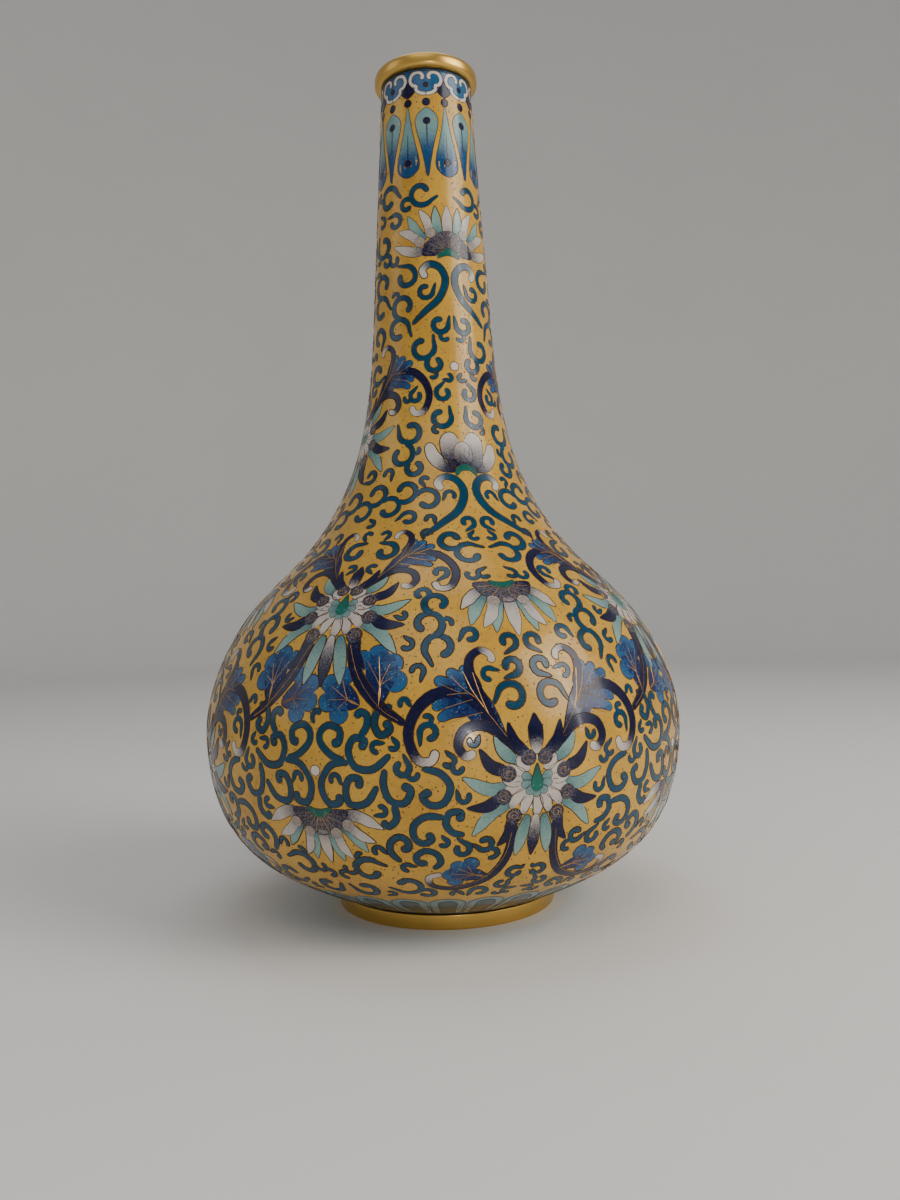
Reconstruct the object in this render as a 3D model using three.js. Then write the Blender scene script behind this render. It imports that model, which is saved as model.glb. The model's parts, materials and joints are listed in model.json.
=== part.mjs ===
// Cloisonne bottle vase: a beaten copper body in three shells, an enamel coat in six decorated
// bands outside it, an enamel lining inside it, and a gilt mouth rim and foot ring.
// Millimetres, +Z up, origin at the centre of the foot ring's underside.

import * as THREE from 'three';

// ---- Driving dimensions ----

// Outline of the outside of the body, from the foot to the mouth
const overallHeight = 380;
const footRadius = 49;
const footHeight = 6.3;
const footLean = 66; // degrees that the wall leans outwards where it leaves the foot
const bellyRadius = 106.8;
const bellyHeight = 82.4;
const shoulderRadius = 75.8;
const shoulderHeight = 144.6;
const shoulderLean = -49.3; // negative leans inwards
const neckRootRadius = 26.8;
const neckRootHeight = 272.8;
const neckRootLean = -2.75;
const neckTopRadius = 20.7;
const neckTopLean = -2.3;

// Mouth rim and foot ring
const rimOverhang = 3;
const rimHeight = 6.6;
const rimLipRound = 1.4;
const footWall = 2.6;
const footEdgeRound = 0.7;

// Layers of the wall, from the outside in
const enamelThickness = 1.2;
const copperThickness = 1.3;
const liningThickness = 0.9;
const basePlateThickness = 1.2;
const baseEnamelThickness = 1;

// Bands of the enamel coat: two are measured down from the mouth, the others up from the ground
const collarDepth = 12.5;
const dropBandDepth = 36;
const neckFieldFoot = 215;
const bodyFieldSplit = 66;
const lappetTop = 20;

// Solder seams of the copper body
const neckSeamHeight = 205;
const bodySeamHeight = bellyHeight;

// Gap between pieces that touch
const fitGap = 0.3;

// Fineness of the facets
const turnSegments = 36;
const roundSteps = 3;
const rimSteps = 6;

// ---- Outline of the body ----

const neckTopHeight = overallHeight - rimHeight - fitGap;

/** Direction in (radius, height) of an outline that leans outwards from straight up. */
function leaning(degrees) {
  const angle = THREE.MathUtils.degToRad(degrees);
  return new THREE.Vector2(Math.sin(angle), Math.cos(angle));
}

/**
 * Stations of the outline. `below` and `above` are how far the outline keeps the station's lean,
 * as shares of the distance to the neighbouring station. `ribs` counts the steps up to the next.
 */
const stations = [
  { radius: footRadius, height: footHeight + fitGap, lean: footLean, above: 0.37, ribs: 8 },
  { radius: bellyRadius, height: bellyHeight, lean: 0, below: 0.54, above: 0.27, ribs: 5 },
  { radius: shoulderRadius, height: shoulderHeight, lean: shoulderLean, below: 0.33, above: 0.38, ribs: 7 },
  { radius: neckRootRadius, height: neckRootHeight, lean: neckRootLean, below: 0.42, above: 0.36, ribs: 2 },
  { radius: neckTopRadius, height: neckTopHeight, lean: neckTopLean, below: 0.36 },
];

/** Cubic curve of the outline between two neighbouring stations. */
function spanCurve(low, high) {
  const start = new THREE.Vector2(low.radius, low.height);
  const end = new THREE.Vector2(high.radius, high.height);
  const reach = start.distanceTo(end);
  const rising = start.clone().addScaledVector(leaning(low.lean), reach * low.above);
  const arriving = end.clone().addScaledVector(leaning(high.lean), -reach * high.below);
  return new THREE.CubicBezierCurve(start, rising, arriving, end);
}

/** Ribs of the outline, foot to mouth: each a point and its outward normal in (radius, height). */
function outlineRibs() {
  const ribs = [];
  for (let index = 0; index < stations.length - 1; index += 1) {
    const curve = spanCurve(stations[index], stations[index + 1]);
    const steps = stations[index].ribs;
    const isLast = index === stations.length - 2;
    for (let step = 0; step < (isLast ? steps + 1 : steps); step += 1) {
      const tangent = curve.getTangentAt(step / steps);
      ribs.push({ point: curve.getPointAt(step / steps), normal: new THREE.Vector2(tangent.y, -tangent.x) });
    }
  }
  return ribs;
}

const ribs = outlineRibs();

/** Place on the ribs, as a rib number with a fraction, whose outer surface is at a height. */
function placeAtHeight(height) {
  const next = ribs.findIndex((rib) => rib.point.y >= height);
  if (next === 0) return 0;
  if (next < 0) return ribs.length - 1;
  const low = ribs[next - 1].point.y;
  const high = ribs[next].point.y;
  return next - 1 + (height - low) / (high - low);
}

/** Place that lies a length further along the ribs; a negative length goes towards the foot. */
function placeBeyond(place, length) {
  const index = Math.min(Math.floor(place), ribs.length - 2);
  return place + length / ribs[index].point.distanceTo(ribs[index + 1].point);
}

/** Point at a place, sunk below the outer surface by a depth. */
function sunkPoint(place, depth) {
  const index = Math.min(Math.floor(place), ribs.length - 2);
  const low = ribs[index].point.clone().addScaledVector(ribs[index].normal, -depth);
  const high = ribs[index + 1].point.clone().addScaledVector(ribs[index + 1].normal, -depth);
  return low.lerp(high, place - index);
}

/** Line of sunk points from one place to another, with every rib on the way. */
function sunkLine(from, to, depth) {
  const places = [from];
  for (let rib = Math.floor(from) + 1; rib < to; rib += 1) places.push(rib);
  places.push(to);
  return places.map((place) => sunkPoint(place, depth));
}

// ---- Solids ----

/** Points of an elliptical arc about a centre, from one angle to another in degrees. */
function arcPoints(centreX, centreY, radiusX, radiusY, fromAngle, toAngle, steps) {
  const points = [];
  for (let step = 0; step <= steps; step += 1) {
    const angle = THREE.MathUtils.degToRad(fromAngle + ((toAngle - fromAngle) * step) / steps);
    points.push(new THREE.Vector2(centreX + radiusX * Math.cos(angle), centreY + radiusY * Math.sin(angle)));
  }
  return points;
}

/** Ring turned about the vase's axis from a section that runs up its outer side. */
function turnedRing(section) {
  return new THREE.LatheGeometry([...section, section[0].clone()], turnSegments).rotateX(Math.PI / 2);
}

/** Flat disc on the vase's axis between two heights. */
function turnedDisc(radius, low, high) {
  const section = [[0, low], [radius, low], [radius, high], [0, high]];
  const points = section.map(([x, y]) => new THREE.Vector2(x, y));
  return new THREE.LatheGeometry(points, turnSegments).rotateX(Math.PI / 2);
}

/** One layer of the body's wall: between two heights and two depths, with half a gap at each end. */
function wallLayer({ low, high, depth, thickness }) {
  const from = low === undefined ? 0 : placeBeyond(placeAtHeight(low), fitGap / 2);
  const to = high === undefined ? ribs.length - 1 : placeBeyond(placeAtHeight(high), -fitGap / 2);
  const outside = sunkLine(from, to, depth);
  const inside = sunkLine(from, to, depth + thickness).reverse();
  return turnedRing([...outside, ...inside]);
}

const copperDepth = enamelThickness + fitGap;
const liningDepth = copperDepth + copperThickness + fitGap;
const wallDepth = liningDepth + liningThickness;

/** Gilt ring with a full round outer side that caps the wall at the mouth. */
function mouthRim() {
  const bore = sunkPoint(ribs.length - 1, wallDepth).x;
  const low = overallHeight - rimHeight;
  const middle = low + rimHeight / 2;
  return turnedRing([
    new THREE.Vector2(bore, low),
    ...arcPoints(neckTopRadius, middle, rimOverhang, rimHeight / 2, -90, 90, rimSteps),
    ...arcPoints(bore + rimLipRound, overallHeight - rimLipRound, rimLipRound, rimLipRound, 90, 180, roundSteps),
  ]);
}

/** Gilt ring that the vase stands on, with its outer lower edge rounded. */
function footRing() {
  const edge = footRadius - footEdgeRound;
  return turnedRing([
    new THREE.Vector2(footRadius - footWall, 0),
    ...arcPoints(edge, footEdgeRound, footEdgeRound, footEdgeRound, -90, 0, roundSteps),
    new THREE.Vector2(footRadius, footHeight),
    new THREE.Vector2(footRadius - footWall, footHeight),
  ]);
}

const basePlateLow = footHeight + fitGap;
const basePlateHigh = basePlateLow + basePlateThickness;

/** Copper disc that closes the body above the foot ring. */
function basePlate() {
  return turnedDisc(sunkPoint(0, copperDepth).x - fitGap, basePlateLow, basePlateHigh);
}

/** Enamel on the inner face of the base plate. */
function baseLining() {
  const low = basePlateHigh + fitGap;
  const radius = sunkPoint(0, wallDepth).x - fitGap;
  return turnedDisc(radius, low, low + liningThickness);
}

/** Enamel on the underside of the base plate, inside the foot ring. */
function baseEnamel() {
  return turnedDisc(footRadius - footWall - fitGap, footHeight - baseEnamelThickness, footHeight);
}

// ---- Finishes ----

const finishes = {
  gilt: { color: '#c08a22', roughness: 0.22, metalness: 1 },
  copper: { color: '#a8673f', roughness: 0.45, metalness: 1 },
  yellow: { color: '#c09a4e', roughness: 0.25, metalness: 0 },
  collarBlue: { color: '#2a6180', roughness: 0.22, metalness: 0 },
  paleTeal: { color: '#7f9c98', roughness: 0.25, metalness: 0 },
  lappetGrey: { color: '#8d9a9a', roughness: 0.3, metalness: 0 },
  turquoise: { color: '#3d8f94', roughness: 0.35, metalness: 0 },
};

/** Named mesh with a material of its own. */
function piece(name, geometry, finish) {
  const mesh = new THREE.Mesh(geometry, new THREE.MeshStandardMaterial(finishes[finish]));
  mesh.name = name;
  return mesh;
}

// ---- Assembly ----

const collarFoot = neckTopHeight - collarDepth;
const dropBandFoot = collarFoot - dropBandDepth;

const enamelBands = [
  { name: 'collar_enamel', low: collarFoot, finish: 'collarBlue' },
  { name: 'drop_band_enamel', low: dropBandFoot, high: collarFoot, finish: 'paleTeal' },
  { name: 'neck_enamel', low: neckFieldFoot, high: dropBandFoot, finish: 'yellow' },
  { name: 'upper_body_enamel', low: bodyFieldSplit, high: neckFieldFoot, finish: 'yellow' },
  { name: 'lower_body_enamel', low: lappetTop, high: bodyFieldSplit, finish: 'yellow' },
  { name: 'lappet_enamel', high: lappetTop, finish: 'lappetGrey' },
];

const copperShells = [
  { name: 'neck_tube', low: neckSeamHeight },
  { name: 'upper_body_shell', low: bodySeamHeight, high: neckSeamHeight },
  { name: 'lower_body_shell', high: bodySeamHeight },
];

const linings = [
  { name: 'neck_lining', low: neckSeamHeight },
  { name: 'body_lining', high: neckSeamHeight },
];

const group = new THREE.Group();

for (const { name, low, high, finish } of enamelBands) {
  group.add(piece(name, wallLayer({ low, high, depth: 0, thickness: enamelThickness }), finish));
}
for (const { name, low, high } of copperShells) {
  group.add(piece(name, wallLayer({ low, high, depth: copperDepth, thickness: copperThickness }), 'copper'));
}
for (const { name, low, high } of linings) {
  group.add(piece(name, wallLayer({ low, high, depth: liningDepth, thickness: liningThickness }), 'turquoise'));
}
group.add(piece('mouth_rim', mouthRim(), 'gilt'));
group.add(piece('foot_ring', footRing(), 'gilt'));
group.add(piece('base_plate', basePlate(), 'copper'));
group.add(piece('base_lining', baseLining(), 'turquoise'));
group.add(piece('base_enamel', baseEnamel(), 'turquoise'));

export default group;
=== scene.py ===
"""Visual model of a cloisonne bottle vase: enamel cells between gilt wires on a turned copper body."""

import enum
import json
import logging
import math
from dataclasses import dataclass, field, replace
from typing import ClassVar, Iterable, Sequence

import bmesh
import bpy
import numpy as np
from mathutils import Matrix, Vector

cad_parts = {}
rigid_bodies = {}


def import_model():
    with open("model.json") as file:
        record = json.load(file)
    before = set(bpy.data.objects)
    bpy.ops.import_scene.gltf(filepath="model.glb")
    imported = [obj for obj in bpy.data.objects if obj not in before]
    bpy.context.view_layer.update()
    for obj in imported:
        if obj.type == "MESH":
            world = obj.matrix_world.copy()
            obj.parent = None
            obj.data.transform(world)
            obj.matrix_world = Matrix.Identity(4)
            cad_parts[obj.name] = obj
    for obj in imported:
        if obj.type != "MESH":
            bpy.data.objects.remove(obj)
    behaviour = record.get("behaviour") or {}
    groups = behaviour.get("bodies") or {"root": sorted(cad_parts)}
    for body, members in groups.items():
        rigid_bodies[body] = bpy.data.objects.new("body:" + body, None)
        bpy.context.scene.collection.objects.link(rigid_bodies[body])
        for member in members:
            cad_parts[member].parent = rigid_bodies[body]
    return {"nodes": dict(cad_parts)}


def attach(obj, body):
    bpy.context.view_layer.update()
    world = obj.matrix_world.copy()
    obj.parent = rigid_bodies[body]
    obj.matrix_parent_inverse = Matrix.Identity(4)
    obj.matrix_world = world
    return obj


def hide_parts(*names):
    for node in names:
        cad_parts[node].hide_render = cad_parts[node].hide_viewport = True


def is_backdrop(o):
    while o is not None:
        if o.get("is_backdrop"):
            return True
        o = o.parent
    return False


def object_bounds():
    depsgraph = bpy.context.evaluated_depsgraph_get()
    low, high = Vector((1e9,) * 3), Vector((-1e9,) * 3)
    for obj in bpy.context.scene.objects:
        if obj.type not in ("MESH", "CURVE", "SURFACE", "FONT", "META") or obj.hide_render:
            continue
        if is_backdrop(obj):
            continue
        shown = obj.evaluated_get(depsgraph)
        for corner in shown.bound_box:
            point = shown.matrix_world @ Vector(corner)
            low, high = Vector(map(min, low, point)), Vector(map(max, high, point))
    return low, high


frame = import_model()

LOG = logging.getLogger("vase")
CAD_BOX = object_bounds()
MM = 0.001

# Axes of the pattern round the body, in degrees: it repeats four times round the belly
FRONT_AXIS = 18.5
SECTOR = 90.0
# How far the polished ground lies under the outer face of the solids, in millimetres
GROUND_DEPTH = 0.20


# ---------------------------------------------------------------- outline and skin


class Skin:
    """Surface of the vase's body, drawn on as a flat chart that keeps angles and round shapes.

    A chart point is a complex number: its real part is the angle round the axis and its imaginary
    part grows up the outline, both in radians. A millimetre on the body is 1 / radius in the chart.
    """

    ENAMEL_NODES = ("lappet_enamel", "lower_body_enamel", "upper_body_enamel",
                    "neck_enamel", "drop_band_enamel", "collar_enamel")
    SAMPLES = 4000

    def __init__(self) -> None:
        """Reads the ribs of the outer wall from the solids and joins them by a smooth line."""
        ribs = self._outer_ribs()
        knots = np.concatenate([[0.0], np.cumsum(np.hypot(*np.diff(ribs, axis=0).T))])
        fine = np.linspace(0.0, knots[-1], self.SAMPLES)
        self.radius = self._smooth(knots, ribs[:, 0], fine)
        self.height = self._smooth(knots, ribs[:, 1], fine)
        steps = np.hypot(np.diff(self.radius), np.diff(self.height))
        self.length = np.concatenate([[0.0], np.cumsum(steps)])
        rise = np.gradient(self.height, self.length)
        run = np.gradient(self.radius, self.length)
        size = np.hypot(rise, run)
        self.normal_r = rise / size
        self.normal_z = -run / size
        inverse = 0.5 * (1 / self.radius[1:] + 1 / self.radius[:-1])
        self.level = np.concatenate([[0.0], np.cumsum(steps * inverse)])

    def _outer_ribs(self) -> np.ndarray:
        """Points of the outer wall in the plane through the axis, foot to mouth.

        Returns:
            Rows of radius and height in millimetres: each node's ribs, and the wall's two ends.
        """
        rows = []
        for position, name in enumerate(self.ENAMEL_NODES):
            points = {(round(v.co.x / MM, 3), round(v.co.z / MM, 3))
                      for v in frame["nodes"][name].data.vertices if abs(v.co.y) < 1e-6 and v.co.x > 0}
            cloud = np.array(sorted(points, key=lambda point: (point[1], point[0])))
            gaps = np.hypot(cloud[:, None, 0] - cloud[None, :, 0], cloud[:, None, 1] - cloud[None, :, 1])
            wall = np.abs(gaps - 1.2)
            partner = np.argmin(wall, axis=1)
            outer = cloud[cloud[:, 0] > cloud[partner, 0]]
            low = 0 if position == 0 else 1
            high = len(outer) if position == len(self.ENAMEL_NODES) - 1 else -1
            rows.append(outer[low:high])
        return np.concatenate([row for row in rows if len(row)])

    @staticmethod
    def _smooth(knots: np.ndarray, values: np.ndarray, places: np.ndarray) -> np.ndarray:
        """Cubic line through the values at the knots.

        Args:
            knots: Places of the known values, rising.
            values: The known values.
            places: Places to work out.

        Returns:
            The values at the places.
        """
        width = np.diff(knots)
        slope = np.diff(values) / width
        tangent = np.empty_like(values)
        tangent[1:-1] = (slope[:-1] * width[1:] + slope[1:] * width[:-1]) / (width[1:] + width[:-1])
        tangent[0] = 2 * slope[0] - tangent[1]
        tangent[-1] = slope[-1]
        index = np.clip(np.searchsorted(knots, places) - 1, 0, len(width) - 1)
        step = width[index]
        t = (places - knots[index]) / step
        return ((2 * t**3 - 3 * t**2 + 1) * values[index] + (t**3 - 2 * t**2 + t) * step * tangent[index]
                + (3 * t**2 - 2 * t**3) * values[index + 1] + (t**3 - t**2) * step * tangent[index + 1])

    def radius_at(self, length: float) -> float:
        """Radius in millimetres at a length up the outline."""
        return float(np.interp(length, self.length, self.radius))

    def level_at(self, length: float) -> float:
        """Chart level at a length up the outline, in millimetres."""
        return float(np.interp(length, self.length, self.level))

    def length_at(self, level: np.ndarray) -> np.ndarray:
        """Length up the outline, in millimetres, at chart levels."""
        return np.interp(level, self.level, self.length)

    def unit_at(self, place: complex) -> float:
        """Size of a millimetre in the chart at one of its points."""
        return 1 / self.radius_at(float(self.length_at(np.array(place.imag))))

    def length_at_height(self, height: float) -> float:
        """Length up the outline at a height above the ground, in millimetres."""
        return float(np.interp(height, self.height, self.length))

    def section(self, length: np.ndarray, depth: float) -> np.ndarray:
        """Points under the outer face, as rows of radius and height in millimetres.

        Args:
            length: Lengths up the outline.
            depth: How far the points lie under the face; a negative depth stands proud.

        Returns:
            An array with one row for each length.
        """
        columns = []
        for base, normal in ((self.radius, self.normal_r), (self.height, self.normal_z)):
            inward = depth * np.interp(length, self.length, normal)
            columns.append(np.interp(length, self.length, base) - inward)
        return np.stack(columns, axis=-1)

    def place(self, chart: np.ndarray, lift: np.ndarray) -> np.ndarray:
        """Points of the chart set on the body.

        Args:
            chart: Complex chart points.
            lift: How far each point stands over the polished ground, in millimetres.

        Returns:
            Rows of x, y and z in metres.
        """
        length = self.length_at(chart.imag)
        radius, height = self.section(length, 0.0).T
        out_r = np.interp(length, self.length, self.normal_r)
        out_z = np.interp(length, self.length, self.normal_z)
        proud = lift - GROUND_DEPTH
        ring = radius + proud * out_r
        across, toward_front = ring * np.sin(chart.real), -ring * np.cos(chart.real)
        spot = np.stack([across, toward_front, height + proud * out_z], axis=-1)
        return spot * MM


SKIN = Skin()


@dataclass(frozen=True)
class Anchor:
    """Where a motif's own drawing is laid on the body.

    Attributes:
        angle: Angle of its origin round the axis, in degrees.
        length: Length of its origin up the outline, in millimetres.
        turn: Turn of the drawing, in degrees anticlockwise.
        scale: Size of the drawing.
    """

    angle: float
    length: float
    turn: float = 0.0
    scale: float = 1.0

    def to_chart(self, plan: np.ndarray) -> np.ndarray:
        """Chart points of a drawing in millimetres about the anchor."""
        origin = complex(math.radians(self.angle), SKIN.level_at(self.length))
        unit = self.scale / SKIN.radius_at(self.length) * np.exp(1j * math.radians(self.turn))
        return origin + np.asarray(plan) * unit

    def turned_round(self, degrees: float) -> "Anchor":
        """The same anchor further round the body."""
        return Anchor(self.angle + degrees, self.length, self.turn, self.scale)


# ---------------------------------------------------------------- strokes and cells


def smooth_line(points: Sequence[complex], count: int) -> np.ndarray:
    """Smooth line through points, closer spaced towards both ends.

    Args:
        points: Points that the line passes through.
        count: Number of points on the line.

    Returns:
        The points of the line.
    """
    knots = np.asarray(points, dtype=complex)
    padded = np.concatenate([[2 * knots[0] - knots[1]], knots, [2 * knots[-1] - knots[-2]]])
    share = 0.5 - 0.5 * np.cos(np.pi * np.linspace(0, 1, count))
    place = share * (len(knots) - 1)
    index = np.minimum(place.astype(int), len(knots) - 2)
    t = place - index
    p0, p1, p2, p3 = (padded[index + shift] for shift in range(4))
    bend = (2 * p0 - 5 * p1 + 4 * p2 - p3) * t**2
    twist = (3 * p1 - p0 - 3 * p2 + p3) * t**3
    return 0.5 * (2 * p1 + (p2 - p0) * t + bend + twist)


Points = tuple[complex, ...]
Values = tuple[float, ...]


class End(enum.Enum):
    """How a stroke ends."""

    POINT = "runs out to a point"
    ROUND = "ends in a half circle"


@dataclass(frozen=True)
class Stroke:
    """One cell of enamel drawn as a brush stroke along a line, in millimetres.

    Attributes:
        points: Points that its middle line passes through.
        widths: Half-widths at even steps along the line.
        tones: Shares of the lighter colour at even steps along the line.
        start: How the stroke starts.
        end: How the stroke ends.
        lobes: Number of rounded lobes along each side.
        steps: Number of steps along the line.
        columns: Number of faces across the stroke.
    """

    points: tuple[complex, ...]
    widths: tuple[float, ...]
    tones: tuple[float, ...] = (0.0,)
    start: End = End.POINT
    end: End = End.ROUND
    lobes: int = 0
    steps: int = 18
    columns: int = 2

    def mirrored(self) -> "Stroke":
        """The stroke on the other side of the drawing's upright axis."""
        return replace(self, points=flipped(self.points))

    def middle(self) -> np.ndarray:
        """Middle line of the stroke."""
        return smooth_line(self.points, self.steps + 1)

    def half_widths(self, line: np.ndarray) -> np.ndarray:
        """Half-width at each point of the middle line.

        Args:
            line: The middle line.

        Returns:
            Half-widths in millimetres, brought to nothing at both ends.
        """
        run = np.concatenate([[0.0], np.cumsum(np.abs(np.diff(line)))])
        share = run / run[-1]
        width = np.interp(share, np.linspace(0, 1, len(self.widths)), self.widths)
        if self.lobes:
            width = width * (0.86 + 0.2 * np.abs(np.sin(np.pi * (self.lobes * share + 0.15))))
        for end, gone in ((self.start, run), (self.end, run[-1] - run)):
            if end is End.ROUND:
                inside = np.clip(gone / np.maximum(width, 1e-6), 0, 1)
                width = width * np.sqrt(np.maximum(1 - (1 - inside)**2, 0))
            else:
                width = width * np.clip(gone / 0.6, 0, 1)
        return width

    def grid(self) -> tuple[np.ndarray, np.ndarray]:
        """Points of the cell.

        Returns:
            A grid of points, steps along by columns across from right to left, and the tone of each step.
        """
        line = self.middle()
        tangent = np.gradient(line)
        side = 1j * tangent / np.maximum(np.abs(tangent), 1e-9)
        across = np.linspace(-1, 1, self.columns + 1)
        width = self.half_widths(line)
        grid = line[:, None] + side[:, None] * width[:, None] * across[None, :]
        run = np.concatenate([[0.0], np.cumsum(np.abs(np.diff(line)))])
        tone = np.interp(run / run[-1], np.linspace(0, 1, len(self.tones)), self.tones)
        return grid, tone


def flipped(points: Points) -> Points:
    """Points on the other side of the drawing's upright axis."""
    return tuple(complex(-point.real, point.imag) for point in map(complex, points))


def petal(points: Points, widths: Values, tones: Values, steps: int = 18, columns: int = 2) -> Stroke:
    """A stroke with a round root that runs out to a point."""
    return Stroke(points, widths, tones, End.ROUND, End.POINT, steps=steps, columns=columns)


def pad(points: Points, widths: Values, tones: Values, steps: int = 18, columns: int = 2) -> Stroke:
    """A stroke with two round ends."""
    return Stroke(points, widths, tones, End.ROUND, End.ROUND, steps=steps, columns=columns)


def disc(centre: complex, radius: float, tone: float = 0.0) -> Stroke:
    """Round cell."""
    reach = radius * 0.999
    return pad((centre - reach, centre, centre + reach), (radius,), (tone,), 12)


def curl(centre: complex, radius: float, start: float, turns: float, inner: float, count: int = 9,
         hold: float = 0.36) -> list[complex]:
    """Points of a spiral about a centre.

    Args:
        centre: Centre of the spiral.
        radius: Radius where it starts.
        start: Angle where it starts, in degrees.
        turns: Turn of the spiral in degrees, anticlockwise where positive.
        inner: Radius where it ends.
        count: Number of points.
        hold: Share of the turn over which the radius stays.

    Returns:
        The points.
    """
    share = np.linspace(0, 1, count)
    reach = radius + (inner - radius) * np.clip((share - hold) / (1 - hold), 0, 1)
    return list(centre + reach * np.exp(1j * np.radians(start + turns * share)))


# ---------------------------------------------------------------- shaders and finishes


class Value:
    """A number in a shader graph, with the usual arithmetic."""

    def __init__(self, graph: "Graph", socket: bpy.types.NodeSocket) -> None:
        """Wraps an output socket of a graph."""
        self.graph = graph
        self.socket = socket

    def _maths(self, operation: str, *operands: "Operand", clamp: bool = False) -> "Value":
        """Adds a maths node.

        Args:
            operation: Name of the operation.
            operands: Its inputs in order.
            clamp: Whether the result is kept between 0 and 1.

        Returns:
            The result.
        """
        settings = {"operation": operation, "use_clamp": clamp}
        node = self.graph.node("ShaderNodeMath", settings, dict(enumerate(operands)))
        return Value(self.graph, node.outputs[0])

    def __add__(self, other: "Operand") -> "Value":
        """Sum."""
        return self._maths("ADD", self, other)

    def __radd__(self, other: "Operand") -> "Value":
        """Sum with a number on the left."""
        return self._maths("ADD", other, self)

    def __sub__(self, other: "Operand") -> "Value":
        """Difference."""
        return self._maths("SUBTRACT", self, other)

    def __rsub__(self, other: "Operand") -> "Value":
        """Difference from a number on the left."""
        return self._maths("SUBTRACT", other, self)

    def __mul__(self, other: "Operand") -> "Value":
        """Product."""
        return self._maths("MULTIPLY", self, other)

    def __rmul__(self, other: "Operand") -> "Value":
        """Product with a number on the left."""
        return self._maths("MULTIPLY", other, self)

    def __truediv__(self, other: "Operand") -> "Value":
        """Quotient."""
        return self._maths("DIVIDE", self, other)

    def __rtruediv__(self, other: "Operand") -> "Value":
        """Quotient with a number on top."""
        return self._maths("DIVIDE", other, self)

    def __pow__(self, other: "Operand") -> "Value":
        """Power."""
        return self._maths("POWER", self, other)

    def clamped(self) -> "Value":
        """The number kept between 0 and 1."""
        return self._maths("ADD", self, 0.0, clamp=True)

    def over(self, low: float, high: float) -> "Value":
        """Share of the way from low to high, kept between 0 and 1."""
        return ((self - low) / (high - low)).clamped()


Operand = Value | bpy.types.NodeSocket | float
Colour = tuple[float, float, float]


class Graph:
    """A material's shader graph."""

    def __init__(self, name: str) -> None:
        """Starts a material with an empty graph."""
        self.material = bpy.data.materials.new(name)
        self.material.use_nodes = True
        self.tree = self.material.node_tree
        self.tree.nodes.clear()
        self._spot: bpy.types.NodeSocket | None = None

    def node(self, kind: str, settings: dict[str, object] | None = None,
             inputs: dict[int | str, object] | None = None) -> bpy.types.ShaderNode:
        """Adds a node of any kind.

        Args:
            kind: The node's type.
            settings: Properties set before its sockets are used.
            inputs: Values or links for its inputs, by name or by number.

        Returns:
            The node.
        """
        made = self.tree.nodes.new(kind)
        for key, value in (settings or {}).items():
            setattr(made, key, value)
        for key, value in (inputs or {}).items():
            if isinstance(value, Value):
                value = value.socket
            if isinstance(value, bpy.types.NodeSocket):
                self.tree.links.new(value, made.inputs[key])
            else:
                made.inputs[key].default_value = value
        return made

    def place(self) -> bpy.types.NodeSocket:
        """Place on the piece, in metres."""
        if self._spot is None:
            self._spot = self.node("ShaderNodeTexCoord").outputs["Object"]
        return self._spot

    def tone(self) -> Value:
        """The piece's own attribute that says how light each spot is."""
        return Value(self, self.node("ShaderNodeAttribute", {"attribute_name": "tone"}).outputs["Fac"])

    def noise(self, size: float, detail: float = 2.0, roughness: float = 0.5) -> Value:
        """Cloudy noise from 0 to 1 with grains of about a size, in metres."""
        inputs = {"Vector": self.place(), "Scale": 1 / size, "Detail": detail, "Roughness": roughness}
        return Value(self, self.node("ShaderNodeTexNoise", inputs=inputs).outputs["Fac"])

    def spots(self, size: float) -> Value:
        """Distance to the nearest of scattered points, as a share of their spacing in metres."""
        inputs = {"Vector": self.place(), "Scale": 1 / size}
        return Value(self, self.node("ShaderNodeTexVoronoi", {"feature": "F1"}, inputs).outputs["Distance"])

    def mix(self, share: Operand, first: Colour | bpy.types.NodeSocket,
            second: Colour | bpy.types.NodeSocket) -> bpy.types.NodeSocket:
        """Blends two colours.

        Args:
            share: Share of the second.
            first: First colour.
            second: Second colour.

        Returns:
            The blend.
        """
        ends = [colour if isinstance(colour, bpy.types.NodeSocket) else (*colour, 1.0)
                for colour in (first, second)]
        made = self.node("ShaderNodeMix", {"data_type": "RGBA"}, {0: share, 6: ends[0], 7: ends[1]})
        return made.outputs[2]

    def relief(self, height: Value, distance: float, strength: float = 1.0) -> bpy.types.NodeSocket:
        """Surface relief from a height, with its full depth in metres."""
        inputs = {"Strength": strength, "Distance": distance, "Height": height}
        return self.node("ShaderNodeBump", inputs=inputs).outputs["Normal"]

    def close(self, inputs: dict[int | str, object]) -> bpy.types.Material:
        """Adds the surface shader and the output.

        Args:
            inputs: Inputs of the surface shader.

        Returns:
            The finished material.
        """
        shader = self.node("ShaderNodeBsdfPrincipled", inputs=inputs)
        self.node("ShaderNodeOutputMaterial", inputs={"Surface": shader.outputs[0]})
        return self.material


def linear(red: int, green: int, blue: int) -> Colour:
    """A screen colour from 0 to 255 turned into linear light."""
    return tuple((value / 255 / 12.92) if value <= 10 else (((value / 255) + 0.055) / 1.055)**2.4
                 for value in (red, green, blue))


def blend(first: Colour, second: Colour, share: float) -> Colour:
    """A colour part of the way from the first to the second."""
    return tuple(a + (b - a) * share for a, b in zip(first, second))


@dataclass(frozen=True)
class Finish:
    """A finish that is made once and worn by many pieces.

    Attributes:
        name: Name of its material.
    """

    name: str

    def material(self) -> bpy.types.Material:
        """The finish's material, made when first asked for."""
        known = bpy.data.materials.get(self.name)
        return known if known else self.compose(Graph(self.name))

    def compose(self, graph: Graph) -> bpy.types.Material:
        """Builds the material in an empty graph."""
        raise NotImplementedError


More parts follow.
